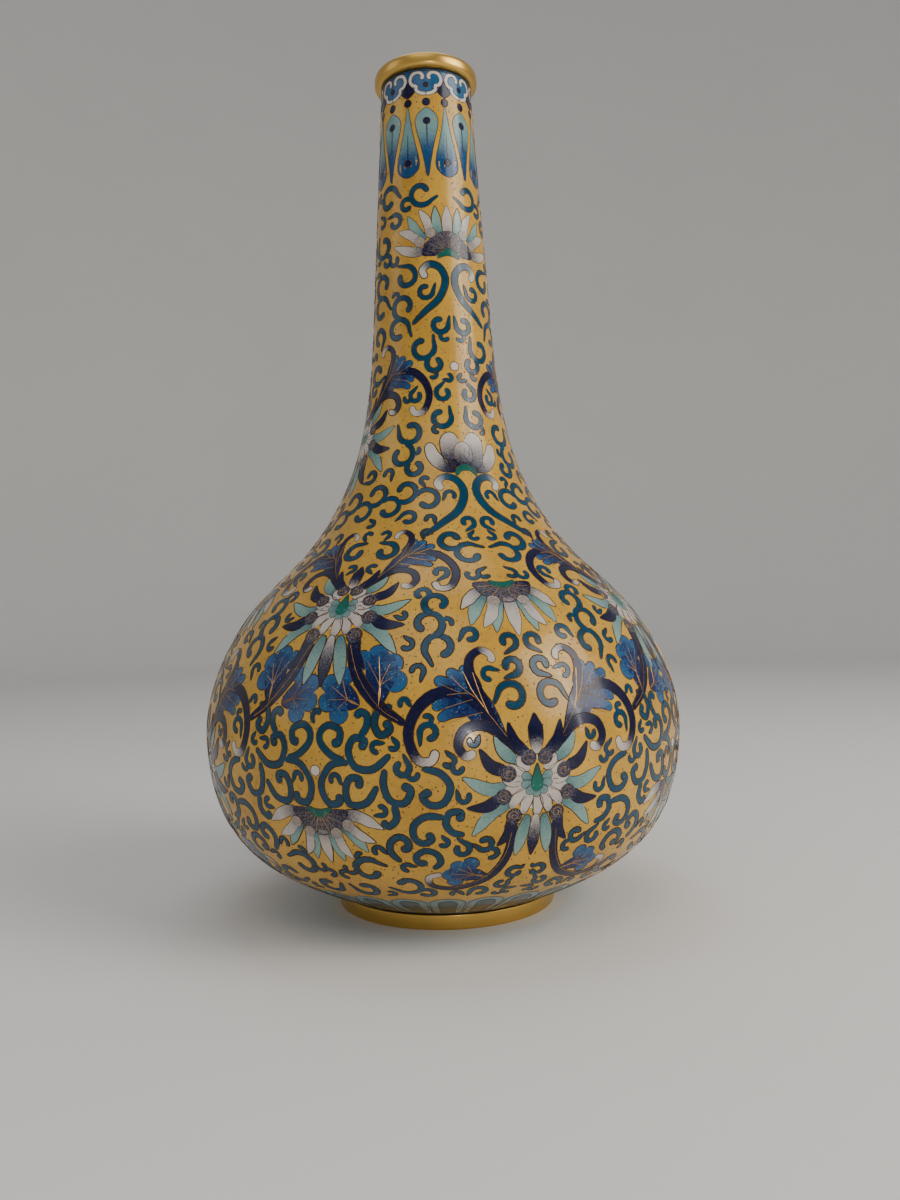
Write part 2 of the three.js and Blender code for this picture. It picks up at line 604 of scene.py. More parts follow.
@dataclass(frozen=True)
class GroundEnamel(Finish):
    """Opaque enamel that fills the ground, cloudy and pitted by firing.

    Attributes:
        dark: Darker colour of its clouds.
        light: Lighter colour of its clouds.
        pit: Colour of its pits.
        pits: Share of the pits that show.
    """

    dark: Colour
    light: Colour
    pit: Colour
    pits: float = 1.0

    def compose(self, graph: Graph) -> bpy.types.Material:
        """Cloudy colour, fine grains, open pits and their relief."""
        cloud = graph.noise(0.022, 3.0)
        grain = graph.noise(0.0016, 2.0, 0.7)
        share = (0.62 * cloud.over(0.3, 0.7) + 0.38 * grain.over(0.25, 0.75)).clamped()
        colour = graph.mix(share, self.dark, self.light)
        chosen = graph.noise(0.004, 1.0).over(0.38, 0.5) * self.pits
        fine = (1.0 - graph.spots(0.0012).over(0.12, 0.24)) * chosen
        sown = graph.noise(0.009, 1.0).over(0.28, 0.4)
        coarse = (1.0 - graph.spots(0.0021).over(0.12, 0.2)) * sown * self.pits
        pit = (fine * 0.75 + coarse).clamped()
        colour = graph.mix(pit * 0.88, colour, self.pit)
        smear = graph.noise(0.009, 4.0, 0.6)
        return graph.close({
            "Base Color": colour,
            "Roughness": 0.17 + 0.08 * smear + 0.4 * pit,
            "Coat Weight": 0.15 - 0.12 * pit,
            "Coat Roughness": 0.04,
            "IOR": 1.4,
            "Normal": graph.relief(0.35 * cloud - pit, 0.00012, 0.55)})


@dataclass(frozen=True)
class CellEnamel(Finish):
    """Enamel of the cells, dark where a cell's tone is 0 and light where it is 1.

    Attributes:
        dark: Colour where the tone is 0.
        light: Colour where the tone is 1.
        grain: How far the grains shift the tone.
        speck: Colour of loose specks, or None.
    """

    dark: Colour
    light: Colour
    grain: float = 0.35
    speck: Colour | None = None

    def compose(self, graph: Graph) -> bpy.types.Material:
        """Grains of the two colours mixed by the cell's tone, with a little cloud and a few pits."""
        fine = graph.noise(0.0007, 2.0, 0.7)
        cloud = graph.noise(0.0055, 2.0)
        share = (graph.tone() + (fine - 0.5) * (2.4 * self.grain)).over(0.12, 0.88)
        dark = graph.mix(cloud.over(0.3, 0.7), blend(self.dark, (0, 0, 0), 0.28), self.dark)
        light = graph.mix(cloud.over(0.3, 0.7), blend(self.light, self.dark, 0.16), self.light)
        colour = graph.mix(share, dark, light)
        pit = 1.0 - graph.spots(0.0048).over(0.04, 0.07)
        if self.speck is not None:
            fleck = (1.0 - graph.spots(0.0011).over(0.16, 0.3)) * graph.noise(0.0031, 1.0).over(0.47, 0.56)
            colour = graph.mix(fleck * 0.75, colour, self.speck)
        colour = graph.mix(pit * 0.6, colour, blend(self.dark, (0, 0, 0), 0.6))
        return graph.close({
            "Base Color": colour,
            "Roughness": 0.15 + 0.08 * cloud + 0.35 * pit,
            "Coat Weight": 0.12 - 0.1 * pit,
            "Coat Roughness": 0.04,
            "IOR": 1.38,
            "Normal": graph.relief(0.4 * cloud - pit, 0.0001, 0.5)})


@dataclass(frozen=True)
class Metal(Finish):
    """Bare or gilt metal with handling marks and cloudy tarnish.

    Attributes:
        bright: Colour of the clean metal; on the outline wires it is darkened with painted shade.
        dull: Colour of its tarnish, which on the outline wires also carries painted shade.
        size: Size of the marks in metres.
        rough: Lowest roughness.
        wear: How far the tarnish spreads.
    """

    bright: Colour
    dull: Colour
    size: float
    rough: float
    wear: float

    def compose(self, graph: Graph) -> bpy.types.Material:
        """Cloudy tarnish with fine marks in the surface."""
        tarnish = graph.noise(self.size, 4.0, 0.65)
        marks = graph.noise(self.size * 0.12, 3.0, 0.7)
        share = (tarnish.over(0.35, 0.68) * self.wear + 0.2 * marks).clamped()
        colour = graph.mix(share, self.bright, self.dull)
        return graph.close({
            "Base Color": colour,
            "Metallic": (1.0 - 0.35 * share).clamped(),
            "Roughness": self.rough + 0.22 * share + 0.1 * marks,
            "Normal": graph.relief(marks + 0.6 * tarnish, 0.00008, 0.5)})


@dataclass(frozen=True)
class Plaster(Finish):
    """Pale matt floor and backdrop.

    Attributes:
        colour: Its colour.
    """

    colour: Colour

    def compose(self, graph: Graph) -> bpy.types.Material:
        """Very faint cloud over one colour."""
        cloud = graph.noise(0.25, 3.0)
        colour = graph.mix(cloud * 0.12, self.colour, blend(self.colour, (0, 0, 0), 0.35))
        return graph.close({"Base Color": colour, "Roughness": 0.7 + 0.1 * cloud})


YELLOW = GroundEnamel("yellow ground", linear(172, 126, 38), linear(206, 162, 64), linear(40, 26, 12), 1.0)
RUYI_BLUE = GroundEnamel(
    "collar blue ground", linear(14, 66, 110), linear(38, 98, 136), linear(8, 18, 40), 0.7)
GREY = GroundEnamel(
    "lappet grey ground", linear(108, 130, 132), linear(140, 160, 158), linear(52, 60, 64), 0.8)
TEAL = CellEnamel("teal scroll enamel", linear(0, 60, 86), linear(190, 186, 176), 0.14)
NAVY = CellEnamel("navy to white enamel", linear(3, 5, 52), linear(190, 180, 170), 0.32)
SKY = CellEnamel(
    "mottled blue leaf enamel", linear(3, 18, 78), linear(34, 90, 134), 0.5, linear(96, 146, 170))
PALE = CellEnamel("pale teal enamel", linear(60, 104, 110), linear(128, 158, 150), 0.4)
WHITE = CellEnamel("white enamel", linear(150, 150, 150), linear(206, 196, 184), 0.3)
GREEN = CellEnamel("green enamel", linear(0, 70, 62), linear(10, 112, 96), 0.35)
SHADED = CellEnamel("grey to teal drop enamel", linear(0, 66, 116), linear(112, 148, 146), 0.34)
LAPPET = CellEnamel("lappet enamel", linear(66, 88, 96), linear(122, 146, 148), 0.35)
TURQUOISE = GroundEnamel(
    "turquoise lining", linear(20, 104, 116), linear(56, 148, 152), linear(12, 44, 52), 0.9)
GILT = Metal("gilt", linear(226, 168, 58), linear(120, 74, 22), 0.011, 0.2, 0.5)
# The outline wires' gilt is far darker than real gilt: painted shade and dark reflection stand in for the
# shadow along the wires, over real cloudy tarnish; the veins keep a brighter gilt.
PAINTED_SHADE_WIRE = Metal("wire gilt darkened with painted shade", linear(92, 60, 24), linear(28, 17, 9), 0.006, 0.3, 0.9)
VEIN = Metal("vein gilt", linear(206, 158, 82), linear(112, 76, 34), 0.01, 0.24, 0.6)
COPPER = Metal("copper", linear(186, 104, 70), linear(84, 46, 34), 0.012, 0.34, 0.8)

SHELLS = ("neck_tube", "upper_body_shell", "lower_body_shell", "base_plate")
BELLY_NODES = ("lower_body_enamel", "upper_body_enamel")
NECK_NODES = ("upper_body_enamel", "neck_enamel")
BAND_NODES = ("drop_band_enamel", "collar_enamel")


def finish_piece(name: str, mesh: bmesh.types.BMesh, finish: Finish, slot: str | None,
                 nodes: Sequence[str]) -> bpy.types.Object:
    """Turns a mesh into a dressed piece that rides the vase.

    Args:
        name: Name of the piece.
        mesh: Its mesh, which is freed.
        finish: Finish that dresses it.
        slot: The record's slot for its finish, or None; not used.
        nodes: CAD nodes that it stands for.

    Returns:
        The object.
    """
    data = bpy.data.meshes.new(name)
    mesh.to_mesh(data)
    mesh.free()
    data.shade_smooth()
    data.set_sharp_from_angle(angle=math.radians(38))
    data.materials.append(finish.material())
    piece = bpy.data.objects.new(name, data)
    bpy.context.scene.collection.objects.link(piece)
    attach(piece, "root")
    if nodes:
        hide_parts(*nodes)
    LOG.info("%s: %d faces", name, len(data.polygons))
    return piece


@dataclass(frozen=True)
class Turned:
    """A closed outline turned once round the vase's axis.

    Attributes:
        name: Name of the piece.
        finish: Finish that dresses it.
        slot: The record's slot that matches its finish.
        nodes: CAD nodes that it stands for.
        steps: Number of steps round.
    """

    name: str
    finish: Finish
    slot: str
    nodes: tuple[str, ...]
    steps: int = 192

    def build(self, outline: np.ndarray) -> bpy.types.Object:
        """Turns an outline.

        Args:
            outline: Rows of radius and height in millimetres round a closed section.

        Returns:
            The object.
        """
        mesh = bmesh.new()
        rim = [mesh.verts.new((radius * MM, 0.0, height * MM)) for radius, height in outline]
        count = len(rim)
        for index, vertex in enumerate(rim):
            follower = rim[(index + 1) % count]
            if vertex.co.x > 1e-7 or follower.co.x > 1e-7:
                mesh.edges.new((vertex, follower))
        bmesh.ops.spin(mesh, geom=[*mesh.verts, *mesh.edges], cent=(0, 0, 0), axis=(0, 0, 1),
                       angle=2 * math.pi, steps=self.steps, use_merge=True)
        bmesh.ops.remove_doubles(mesh, verts=list(mesh.verts), dist=2e-6)
        bmesh.ops.dissolve_degenerate(mesh, edges=list(mesh.edges), dist=1e-7)
        bmesh.ops.recalc_face_normals(mesh, faces=list(mesh.faces))
        return finish_piece(self.name, mesh, self.finish, self.slot, self.nodes)


def coat(low: float, high: float, depth: float, thickness: float, row: float = 3.0) -> np.ndarray:
    """Closed section of an even coat on the body.

    Args:
        low: Length up the outline where it starts, in millimetres.
        high: Length where it stops.
        depth: How far its face lies under the outer face of the solids.
        thickness: Its thickness.
        row: Length of a row.

    Returns:
        Rows of radius and height in millimetres.
    """
    lengths = np.linspace(low, high, max(2, round((high - low) / row) + 1))
    return np.concatenate([SKIN.section(lengths, depth), SKIN.section(lengths[::-1], depth + thickness)])


@dataclass
class Inlay:
    """One piece of the visual model: cells of one enamel, set into the ground with thickness.

    Attributes:
        name: Name of the piece.
        finish: Finish that dresses it.
        slot: The record's slot that matches its finish, or None.
        nodes: CAD nodes that it stands for.
        grids: Each cell's chart points, the tone of each step along it, and the lift of its face.
        thickness: Thickness of the cells in millimetres.
    """

    name: str
    finish: Finish
    slot: str | None
    nodes: tuple[str, ...]
    grids: list[tuple[np.ndarray, np.ndarray, float]] = field(default_factory=list)
    thickness: float = 0.30

    def build(self) -> bpy.types.Object:
        """Makes the piece's mesh and object.

        Returns:
            The object.
        """
        mesh = bmesh.new()
        tone_layer = mesh.verts.layers.float.new("tone")
        for chart, tone, lift in self.grids:
            steps, columns = chart.shape
            made = bmesh.ops.create_grid(mesh, x_segments=steps - 1, y_segments=columns - 1, size=0.5)
            for vertex in made["verts"]:
                row = round((vertex.co.x + 0.5) * (steps - 1))
                column = round((vertex.co.y + 0.5) * (columns - 1))
                point = chart[row, column]
                vertex.co = (point.real, point.imag, lift)
                vertex[tone_layer] = tone[row]
        top = bmesh.ops.extrude_face_region(mesh, geom=list(mesh.faces), use_keep_orig=True)
        for item in top["geom"]:
            if isinstance(item, bmesh.types.BMVert):
                item.co.z -= self.thickness
        flat = np.array([vertex.co for vertex in mesh.verts])
        for vertex, spot in zip(mesh.verts, SKIN.place(flat[:, 0] + 1j * flat[:, 1], flat[:, 2])):
            vertex.co = spot
        bmesh.ops.remove_doubles(mesh, verts=list(mesh.verts), dist=2e-6)
        bmesh.ops.dissolve_degenerate(mesh, edges=list(mesh.edges), dist=1e-6)
        bmesh.ops.recalc_face_normals(mesh, faces=list(mesh.faces))
        return finish_piece(self.name, mesh, self.finish, self.slot, self.nodes)


@dataclass
class WireNet:
    """One piece of gilt wires that stand on edge between the cells.

    Attributes:
        name: Name of the piece.
        finish: Finish that dresses it.
        nodes: CAD nodes that it stands for.
        lines: Each wire's chart points, with whether it is closed.
        radius: Radius of the wires in millimetres.
        sink: Depth of their middle under the polished ground, in millimetres.
    """

    name: str
    finish: Finish
    nodes: tuple[str, ...]
    lines: list[tuple[np.ndarray, bool]] = field(default_factory=list)
    radius: float = 0.30
    sink: float = 0.15

    def add(self, chart: np.ndarray, closed: bool) -> None:
        """Adds a wire along chart points."""
        if len(chart) >= 2:
            self.lines.append((chart, closed))

    def build(self) -> bpy.types.Object:
        """Makes the wires' curve and turns it into a mesh.

        Returns:
            The object.
        """
        data = bpy.data.curves.new(self.name, "CURVE")
        data.dimensions = "3D"
        data.bevel_depth = self.radius * MM
        data.bevel_resolution = 0
        data.use_fill_caps = True
        for chart, closed in self.lines:
            spots = SKIN.place(chart, np.full(len(chart), -self.sink))
            keep = np.concatenate([[True], np.linalg.norm(np.diff(spots, axis=0), axis=1) > 0.00008])
            spots = spots[keep]
            if len(spots) < 2:
                continue
            spline = data.splines.new("POLY")
            spline.points.add(len(spots) - 1)
            flat = np.concatenate([spots, np.ones((len(spots), 1))], axis=1)
            spline.points.foreach_set("co", flat.ravel())
            spline.use_cyclic_u = closed
        shell = bpy.data.objects.new(self.name + "_line", data)
        bpy.context.scene.collection.objects.link(shell)
        bpy.context.view_layer.update()
        made = bpy.data.meshes.new_from_object(shell.evaluated_get(bpy.context.evaluated_depsgraph_get()))
        bpy.data.objects.remove(shell)
        mesh = bmesh.new()
        mesh.from_mesh(made)
        bpy.data.meshes.remove(made)
        bmesh.ops.remove_doubles(mesh, verts=list(mesh.verts), dist=1e-6)
        bmesh.ops.recalc_face_normals(mesh, faces=list(mesh.faces))
        return finish_piece(self.name, mesh, self.finish, "gilt", self.nodes)


# ---------------------------------------------------------------- motifs


class Hue(enum.Enum):
    """Enamels of the cells."""

    TEAL = "teal"
    NAVY = "navy"
    SKY = "leaf_blue"
    PALE = "pale_teal"
    WHITE = "white"
    GREEN = "green"
    SHADED = "shaded"
    LAPPET = "lappet"

    @property
    def finish(self) -> Finish:
        """The finish of the enamel."""
        return {Hue.TEAL: TEAL, Hue.NAVY: NAVY, Hue.SKY: SKY, Hue.PALE: PALE, Hue.WHITE: WHITE,
                Hue.GREEN: GREEN, Hue.SHADED: SHADED, Hue.LAPPET: LAPPET}[self]

    @property
    def slot(self) -> str | None:
        """The record's slot of the enamel, where it has one."""
        return {Hue.PALE: "pale_teal_enamel", Hue.LAPPET: "grey_enamel"}.get(self)


@dataclass(frozen=True)
class Cell:
    """A cell of a motif.

    Attributes:
        hue: Its enamel.
        stroke: Its shape.
        layer: Its place in the stack, higher over lower.
        wired: Whether a wire runs round it.
        group: Cells of one group above 0 share one outline.
    """

    hue: Hue
    stroke: Stroke
    layer: int = 0
    wired: bool = True
    group: int = 0

    def covers(self, plan: np.ndarray) -> np.ndarray:
        """Which points of the drawing lie well inside the cell."""
        line = self.stroke.middle()
        width = self.stroke.half_widths(line)
        return (np.abs(plan[:, None] - line[None, :]) < 0.93 * width[None, :]).any(axis=1)


@dataclass(frozen=True)
class Vein:
    """A wire inside a cell.

    Attributes:
        points: Points that it passes through.
    """

    points: tuple[complex, ...]

    def mirrored(self) -> "Vein":
        """The vein on the other side of the drawing's upright axis."""
        return Vein(flipped(self.points))


Part = Cell | Vein


def both(hue: Hue, stroke: Stroke, layer: int = 0, group: int = 0) -> list[Part]:
    """A cell and its mirror image."""
    return [Cell(hue, stroke, layer, True, group),
            Cell(hue, stroke.mirrored(), layer, True, group + 100 if group else 0)]


def veins(*lines: tuple[complex, ...]) -> list[Part]:
    """Veins and their mirror images."""
    return [vein for line in lines for vein in (Vein(line), Vein(line).mirrored())]


def toward(angle: float) -> complex:
    """A step of one millimetre at an angle in degrees."""
    return complex(math.cos(math.radians(angle)), math.sin(math.radians(angle)))


def horned_petal(head: complex, tip: complex, sense: int, bow: float, group: int,
                 tones: Values, size: float = 1.0) -> list[Part]:
    """A petal with a rolled head and a bowed point, and its mirror image.

    Args:
        head: Centre of the roll.
        tip: Point of the petal.
        sense: 1 where the roll turns anticlockwise, -1 where it turns clockwise.
        bow: How far the petal bows to the left of its way outward, in millimetres.
        group: Number of its outline.
        tones: Tones from the head to the point.
        size: Size of the head.

    Returns:
        The cells and the wires of the rolls.
    """
    way = (tip - head) / abs(tip - head)
    middle = (head + tip) / 2 + 1j * way * bow
    widths = (1.0 * size, 2.1 * size, 2.4 * size, 2.1, 1.4, 0.3)
    horn = petal((head - 1.2 * size * way, head + 1.5 * way, middle, tip), widths, tones, 20, 4)
    roll = pad((head - 2.9j * size, head, head + 2.9j * size), (2.95 * size,), (tones[0],), 14, 4)
    begin = math.degrees(np.angle(way)) + 40 * sense
    spiral = tuple(curl(head, 1.9 * size, begin, sense * 520.0, 0.4 * size, 20, 0.1))
    return both(Hue.NAVY, horn, 5, group) + both(Hue.NAVY, roll, 6, group) + veins(spiral)


def lobed_leaf(base: complex, lobes: Points, group: int, size: float) -> list[Part]:
    """A rounded leaf with lobes round its far edge, and its mirror image.

    Args:
        base: Where it joins its stem.
        lobes: Centres of its lobes.
        group: Number of its outline.
        size: Radius of the lobes in millimetres.

    Returns:
        The cells and their veins.
    """
    middle = sum(lobes) / len(lobes)
    spine = (base, (base + 2 * middle) / 3, middle + 0.35 * (middle - base))
    widths = (1.2, 3.2, 1.45 * size, 1.5 * size, 1.2 * size)
    parts = both(Hue.SKY, pad(spine, widths, (0.0, 0.15, 0.45), 18, 4), 0, group)
    for lobe in lobes:
        way = (lobe - middle) / abs(lobe - middle)
        across = (lobe - size * way, lobe, lobe + size * way)
        parts += both(Hue.SKY, pad(across, (size,), (0.35, 0.65, 0.9), 14), 1, group)
        parts += veins((base, 0.55 * base + 0.45 * middle, 0.75 * lobe + 0.25 * middle))
    return parts


TIPPED = (0.0,) * 15 + (0.6, 1.0, 1.0)
SHORT_TIP = (0.05,) * 12 + (0.4, 1.0, 1.0)


def acanthus(root: complex) -> list[Part]:
    """Leaf that rises from the shoulder of a lotus and hooks over, one each side.

    Args:
        root: Root of the right-hand leaf.

    Returns:
        The parts of both leaves.
    """
    def laid(*points: complex) -> Points:
        """Points of the leaf moved to its root."""
        return tuple(root + point for point in points)

    rising = laid(-2 - 3j, 5 + 6j, 9.5 + 16j, 13 + 26j, 12.5 + 33j, 8 + 36.5j, 4 + 34.5j, 3.6 + 31j)
    reaching = laid(2 + 3.5j, 9 + 12j, 17 + 19j, 26 + 19j, 33.5 + 13j, 36.5 + 4j, 33.5 - 4.5j,
                    28.5 - 5.5j, 26.4 - 1.5j)
    inner = laid(0.5 + 1.5j, 5 + 5.2j, 11 + 7j, 16.6 + 5j, 18.6 - 0.2j, 15.8 - 4j, 12.4 - 2.6j)
    blade = laid(1 + 1j, 8 + 10j, 14 + 18j, 17.5 + 23j)
    parts: list[Part] = []
    width = (0.5, 1.6, 2.4, 2.8, 2.7, 2.2, 1.7, 1.5, 1.5)
    parts += both(Hue.NAVY, Stroke(rising, width, TIPPED, steps=36), 4, 1)
    parts += both(Hue.SKY, Stroke(blade, (0.8, 3.4, 5.4, 5.6, 3.2), (0.0, 0.05, 0.25, 0.4),
                                  steps=20, columns=4), 2, 1)
    for base, tip in ((10 + 16j, 16 + 30j), (14 + 18j, 21.5 + 28.5j), (18 + 18j, 26.5 + 25j)):
        finger = laid(base, (base + tip) / 2 - 0.8 + 0.6j, tip)
        parts += both(Hue.SKY, Stroke(finger, (2.2, 2.7, 2.5, 2.0), (0.05, 0.2, 0.5, 1.0), steps=14), 1, 1)
    for base, tip in ((18 + 16j, 27.5 + 13.5j), (14 + 13j, 25.5 + 9.4j)):
        finger = laid(base, (base + tip) / 2 + 0.6 + 0.8j, tip)
        parts += both(Hue.SKY, Stroke(finger, (2.4, 2.5, 2.1, 1.6), (0.05, 0.2, 0.5, 0.9), steps=14), 1, 1)
    width = (0.6, 1.4, 2.1, 2.4, 2.3, 2.0, 1.8, 1.7, 1.6)
    parts += both(Hue.NAVY, Stroke(reaching, width, TIPPED, steps=40), 3, 1)
    parts += both(Hue.NAVY, Stroke(inner, (0.9, 1.8, 2.0, 1.9, 1.7, 1.6, 1.5), TIPPED, steps=28), 5, 2)
    parts += veins(laid(0.5 + 2j, 7 + 11j, 13 + 18.5j, 22 + 18.5j),
                   laid(8.5 + 13.5j, 12.5 + 20j, 15.5 + 27.5j),
                   laid(12 + 17.5j, 16.5 + 21.5j, 20.5 + 26j), laid(16 + 18.7j, 20.5 + 20.8j, 25 + 23j),
                   laid(12.5 + 16.5j, 18 + 15j, 24.5 + 13j), laid(9 + 11.5j, 14.5 + 10.4j, 21.5 + 8.2j),
                   laid(7 + 11j, 9.5 + 18j, 11.8 + 27j))
    return parts


def full_lotus() -> list[Part]:
    """Open lotus seen from the front, with petals all round and a leaf on each shoulder."""
    parts: list[Part] = [Cell(Hue.WHITE, disc(-1j, 9.8, 0.9), 1, False)]
    lobes = ((-90, 14.5), (-68, 14.0), (-44, 14.5), (-20, 14.0), (4, 13.5), (28, 13.0), (52, 12.0))
    for angle, reach in lobes:
        way = toward(angle)
        bend = 1j * way * (0.7 if angle < 0 else -0.7)
        line = (4.8 * way, (4.8 + reach) / 2 * way + bend, reach * way)
        white = petal(line, (1.0, 1.9, 2.1, 1.7, 0.8), (0.75, 0.9, 1.0, 0.85, 0.45), 14)
        parts += both(Hue.NAVY, white, 3) if angle != -90 else [Cell(Hue.NAVY, white, 3)]
    for angle in (-90, -54, -16, 20):
        way = toward(angle)
        small = Stroke((2.2 * way, 6.4 * way), (0.8, 1.5, 1.7, 1.4), (0.3, 0.7), End.ROUND, steps=10)
        parts += both(Hue.PALE, small, 7) if angle != -90 else [Cell(Hue.PALE, small, 7)]
    parts.append(Cell(Hue.GREEN, petal((-4.3j, -2j, 2j, 6.2j), (2.2, 2.5, 1.4, 0.3), (0.7, 0.2), 14), 8))
    horns = ((3.3 + 8.4j, 10.5 + 21.5j, -1, -1.8), (11 + 2.8j, 21.5 + 12.5j, -1, -2.0),
             (12.8 - 5.6j, 26.5 - 9.2j, 1, -1.6), (8.6 - 13.2j, 14.5 - 25.5j, 1, -1.6))
    for number, (head, tip, sense, bow) in enumerate(horns):
        parts += horned_petal(head, tip, sense, bow, 10 + number, (0.2, 0.12, 0.0, 0.0, 0.0))
    upright = petal((9.6j, 13j, 18j, 24.5j), (1.2, 2.9, 2.9, 0.3), (0.9, 0.35, 0.0, 0.0, 0.0))
    hanging = petal((-13j, -18j, -24j, -31.5j), (1.2, 2.3, 2.3, 0.3), (0.9, 0.35, 0.1, 0.0))
    parts += [Cell(Hue.NAVY, upright, 4), Cell(Hue.NAVY, hanging, 4)]
    for line in ((7 + 7j, 12.5 + 11j, 15.5 + 20j), (9 - 1j, 18 - 2.5j, 28 + 2.4j),
                 (9 - 8j, 17 - 11.5j, 24.5 - 20.5j), (3.2 - 13j, 5 - 21j, 6.8 - 31j)):
        parts += both(Hue.PALE, petal(line, (1.2, 2.3, 2.5, 2.0, 0.3), (0.2, 0.7, 1.0)), 2)
    return parts + acanthus(10.5 + 14j)


def upper_stems() -> list[Part]:
    """Stems and lobed leaves under the upper lotus."""
    stem = Stroke((7.5 - 15j, 12 - 27j, 19.5 - 36.5j, 28 - 42.5j), (1.0, 1.9, 2.1, 1.7, 0.9), (0.0,))
    parts = both(Hue.NAVY, stem, 4, 20)
    parts += lobed_leaf(20 - 37j, (13.5 - 22.5j, 18.5 - 20.6j, 23.6 - 23.8j, 25 - 29.6j), 21, 3.5)
    parts += lobed_leaf(14 - 37j, (8.2 - 27.8j, 3.6 - 30.4j, 3.4 - 36j, 7.6 - 39.6j), 22, 3.1)
    return parts + veins((8 - 17j, 12.6 - 28j, 20 - 37.5j, 26 - 41.5j))


def lower_stems() -> list[Part]:
    """Stems, lobed leaves and a pair of small scrolls under the lower lotus."""
    line = (8.8 - 17j, 10.5 - 32j, 18 - 44.5j, 31 - 51j, 40.5 - 48.5j, 42 - 42j, 36.6 - 39.5j)
    parts = both(Hue.NAVY, Stroke(line, (1.2, 1.7, 2.0, 2.0, 1.8, 1.6, 1.5), TIPPED, steps=40), 4, 20)
    parts += lobed_leaf(17 - 42.5j, (24.5 - 33.8j, 29.6 - 35.6j, 33 - 40.2j, 30.8 - 45.2j), 21, 3.4)
    parts += veins((9.2 - 20j, 11.6 - 32j, 19 - 43.5j, 31 - 49.8j))
    rolls = ((1.7 - 36.5j, *curl(5 - 41j, 3.4, 130, -330, 1.5)),
             (4.6 - 44.2j, *curl(9.5 - 49.2j, 3.2, 150, 320, 1.5)))
    for layer, points in enumerate(rolls, 2):
        parts += both(Hue.TEAL, Stroke(points, (0.6, 1.1, 1.2, 1.2, 1.4), (0.06,), steps=28), layer, 30)
    return parts


def half_lotus(low: bool) -> list[Part]:
    """Lotus seen from the side, hanging with its petals down.

    Args:
        low: Whether it is the wider one of the lower row.

    Returns:
        Its parts.
    """
    heart = Stroke((-12 + 1j, -6 - 2.6j, -4j, 6 - 2.6j, 12 + 1j), (0.8, 3.6, 5.0, 5.4, 5.0, 3.6, 0.8),
                   (0.1, 0.2, 0.24, 0.2, 0.1), End.POINT, End.POINT, steps=26, columns=4)
    cup = pad((-5.4 + 2.2j, -3 + 0.4j, -0.4j, 3 + 0.4j, 5.4 + 2.2j), (0.5, 1.4, 1.8, 1.4, 0.5), (0.4,))
    middle = petal((-5j, -12j, -23j), (1.6, 2.6, 2.3, 0.3), (0.15, 0.7, 1.0, 1.0))
    parts: list[Part] = [Cell(Hue.NAVY, heart, 5), Cell(Hue.GREEN, cup, 7), Cell(Hue.NAVY, middle, 4)]
    fan = [(3.2 - 6j, 5.6 - 13j, 7.2 - 21.5j), (8.6 - 5.5j, 12.5 - 11j, 15.2 - 18.5j)]
    rolled = [(5.8 - 8.4j, 11 - 19.5j)]
    outer = (8 - 1.5j, 12.5 - 5j, 18 - 12j)
    if low:
        fan = [(3.2 - 6j, 4.8 - 13j, 6.6 - 21.5j), (9 - 5j, 13.5 - 9.5j, 18 - 16j)]
        rolled = [(6 - 8.2j, 10.8 - 19.8j), (11.6 - 4.6j, 21.8 - 11.4j)]
        outer = (9 + 0.2j, 16 - 0.8j, 25.5 - 5.6j)
    for line in fan:
        parts += both(Hue.PALE, petal(line, (1.4, 2.3, 2.2, 0.3), (0.1, 0.6, 1.0, 1.0)), 2)
    for number, (head, tip) in enumerate(rolled):
        parts += horned_petal(head, tip, 1, -0.9, 40 + number, (0.55, 0.75, 1.0, 1.0), 0.85)
    parts += both(Hue.NAVY, petal(outer, (1.4, 2.4, 2.3, 0.3), (0.1, 0.5, 1.0, 1.0)), 3)
    for angle in (-90, -68, -46, -24, -6):
        way = toward(angle)
        reach = 8.5 if angle < -30 else 10.5
        lines = veins((2.2 * way + 0.5j, 5 * way, reach * way))
        parts += lines[:1] if angle == -90 else lines
    return parts


def fan_lotus() -> list[Part]:
    """Lotus seen from the side under the drop band, with its petals up."""
    heart = Stroke((-12 - 1j, -6 + 2.6j, 4.4j, 6 + 2.6j, 12 - 1j), (0.8, 3.6, 5.0, 5.6, 5.0, 3.6, 0.8),
                   (0.1, 0.2, 0.24, 0.2, 0.1), End.POINT, End.POINT, steps=26, columns=4)
    cup = pad((-5 - 2.4j, -2.8 - 0.6j, 0.3j, 2.8 - 0.6j, 5 - 2.4j), (0.5, 1.3, 1.7, 1.3, 0.5), (0.4,))
    middle = petal((6j, 12j, 22j), (1.6, 2.7, 2.3, 0.3), (0.15, 0.7, 1.0, 1.0))
    parts: list[Part] = [Cell(Hue.NAVY, heart, 5), Cell(Hue.GREEN, cup, 7), Cell(Hue.NAVY, middle, 4)]
    for line in ((3.6 + 7j, 5 + 13j, 5.6 + 21.5j), (10 + 6j, 14 + 9.5j, 18.6 + 17.5j)):
        parts += both(Hue.PALE, petal(line, (1.4, 2.3, 2.1, 0.3), (0.1, 0.6, 1.0, 1.0)), 2)
    for number, (head, tip) in enumerate(((8 + 9j, 13.2 + 20j), (13 + 5j, 23.5 + 11j))):
        parts += horned_petal(head, tip, -1, 0.9, 40 + number, (0.55, 0.75, 1.0, 1.0), 0.85)
    outer = petal((9 + 0.4j, 17 + 0.8j, 26 + 4.5j), (1.4, 2.3, 2.1, 0.3), (0.1, 0.5, 1.0, 1.0))
    parts += both(Hue.NAVY, outer, 3)
    for angle in (90, 68, 46, 24, 6):
        way = toward(angle)
        lines = veins((2.2 * way, 5 * way, 9.2 * way))
        parts += lines[:1] if angle == 90 else lines
    return parts + foot_scrolls(7 - 10.5j)


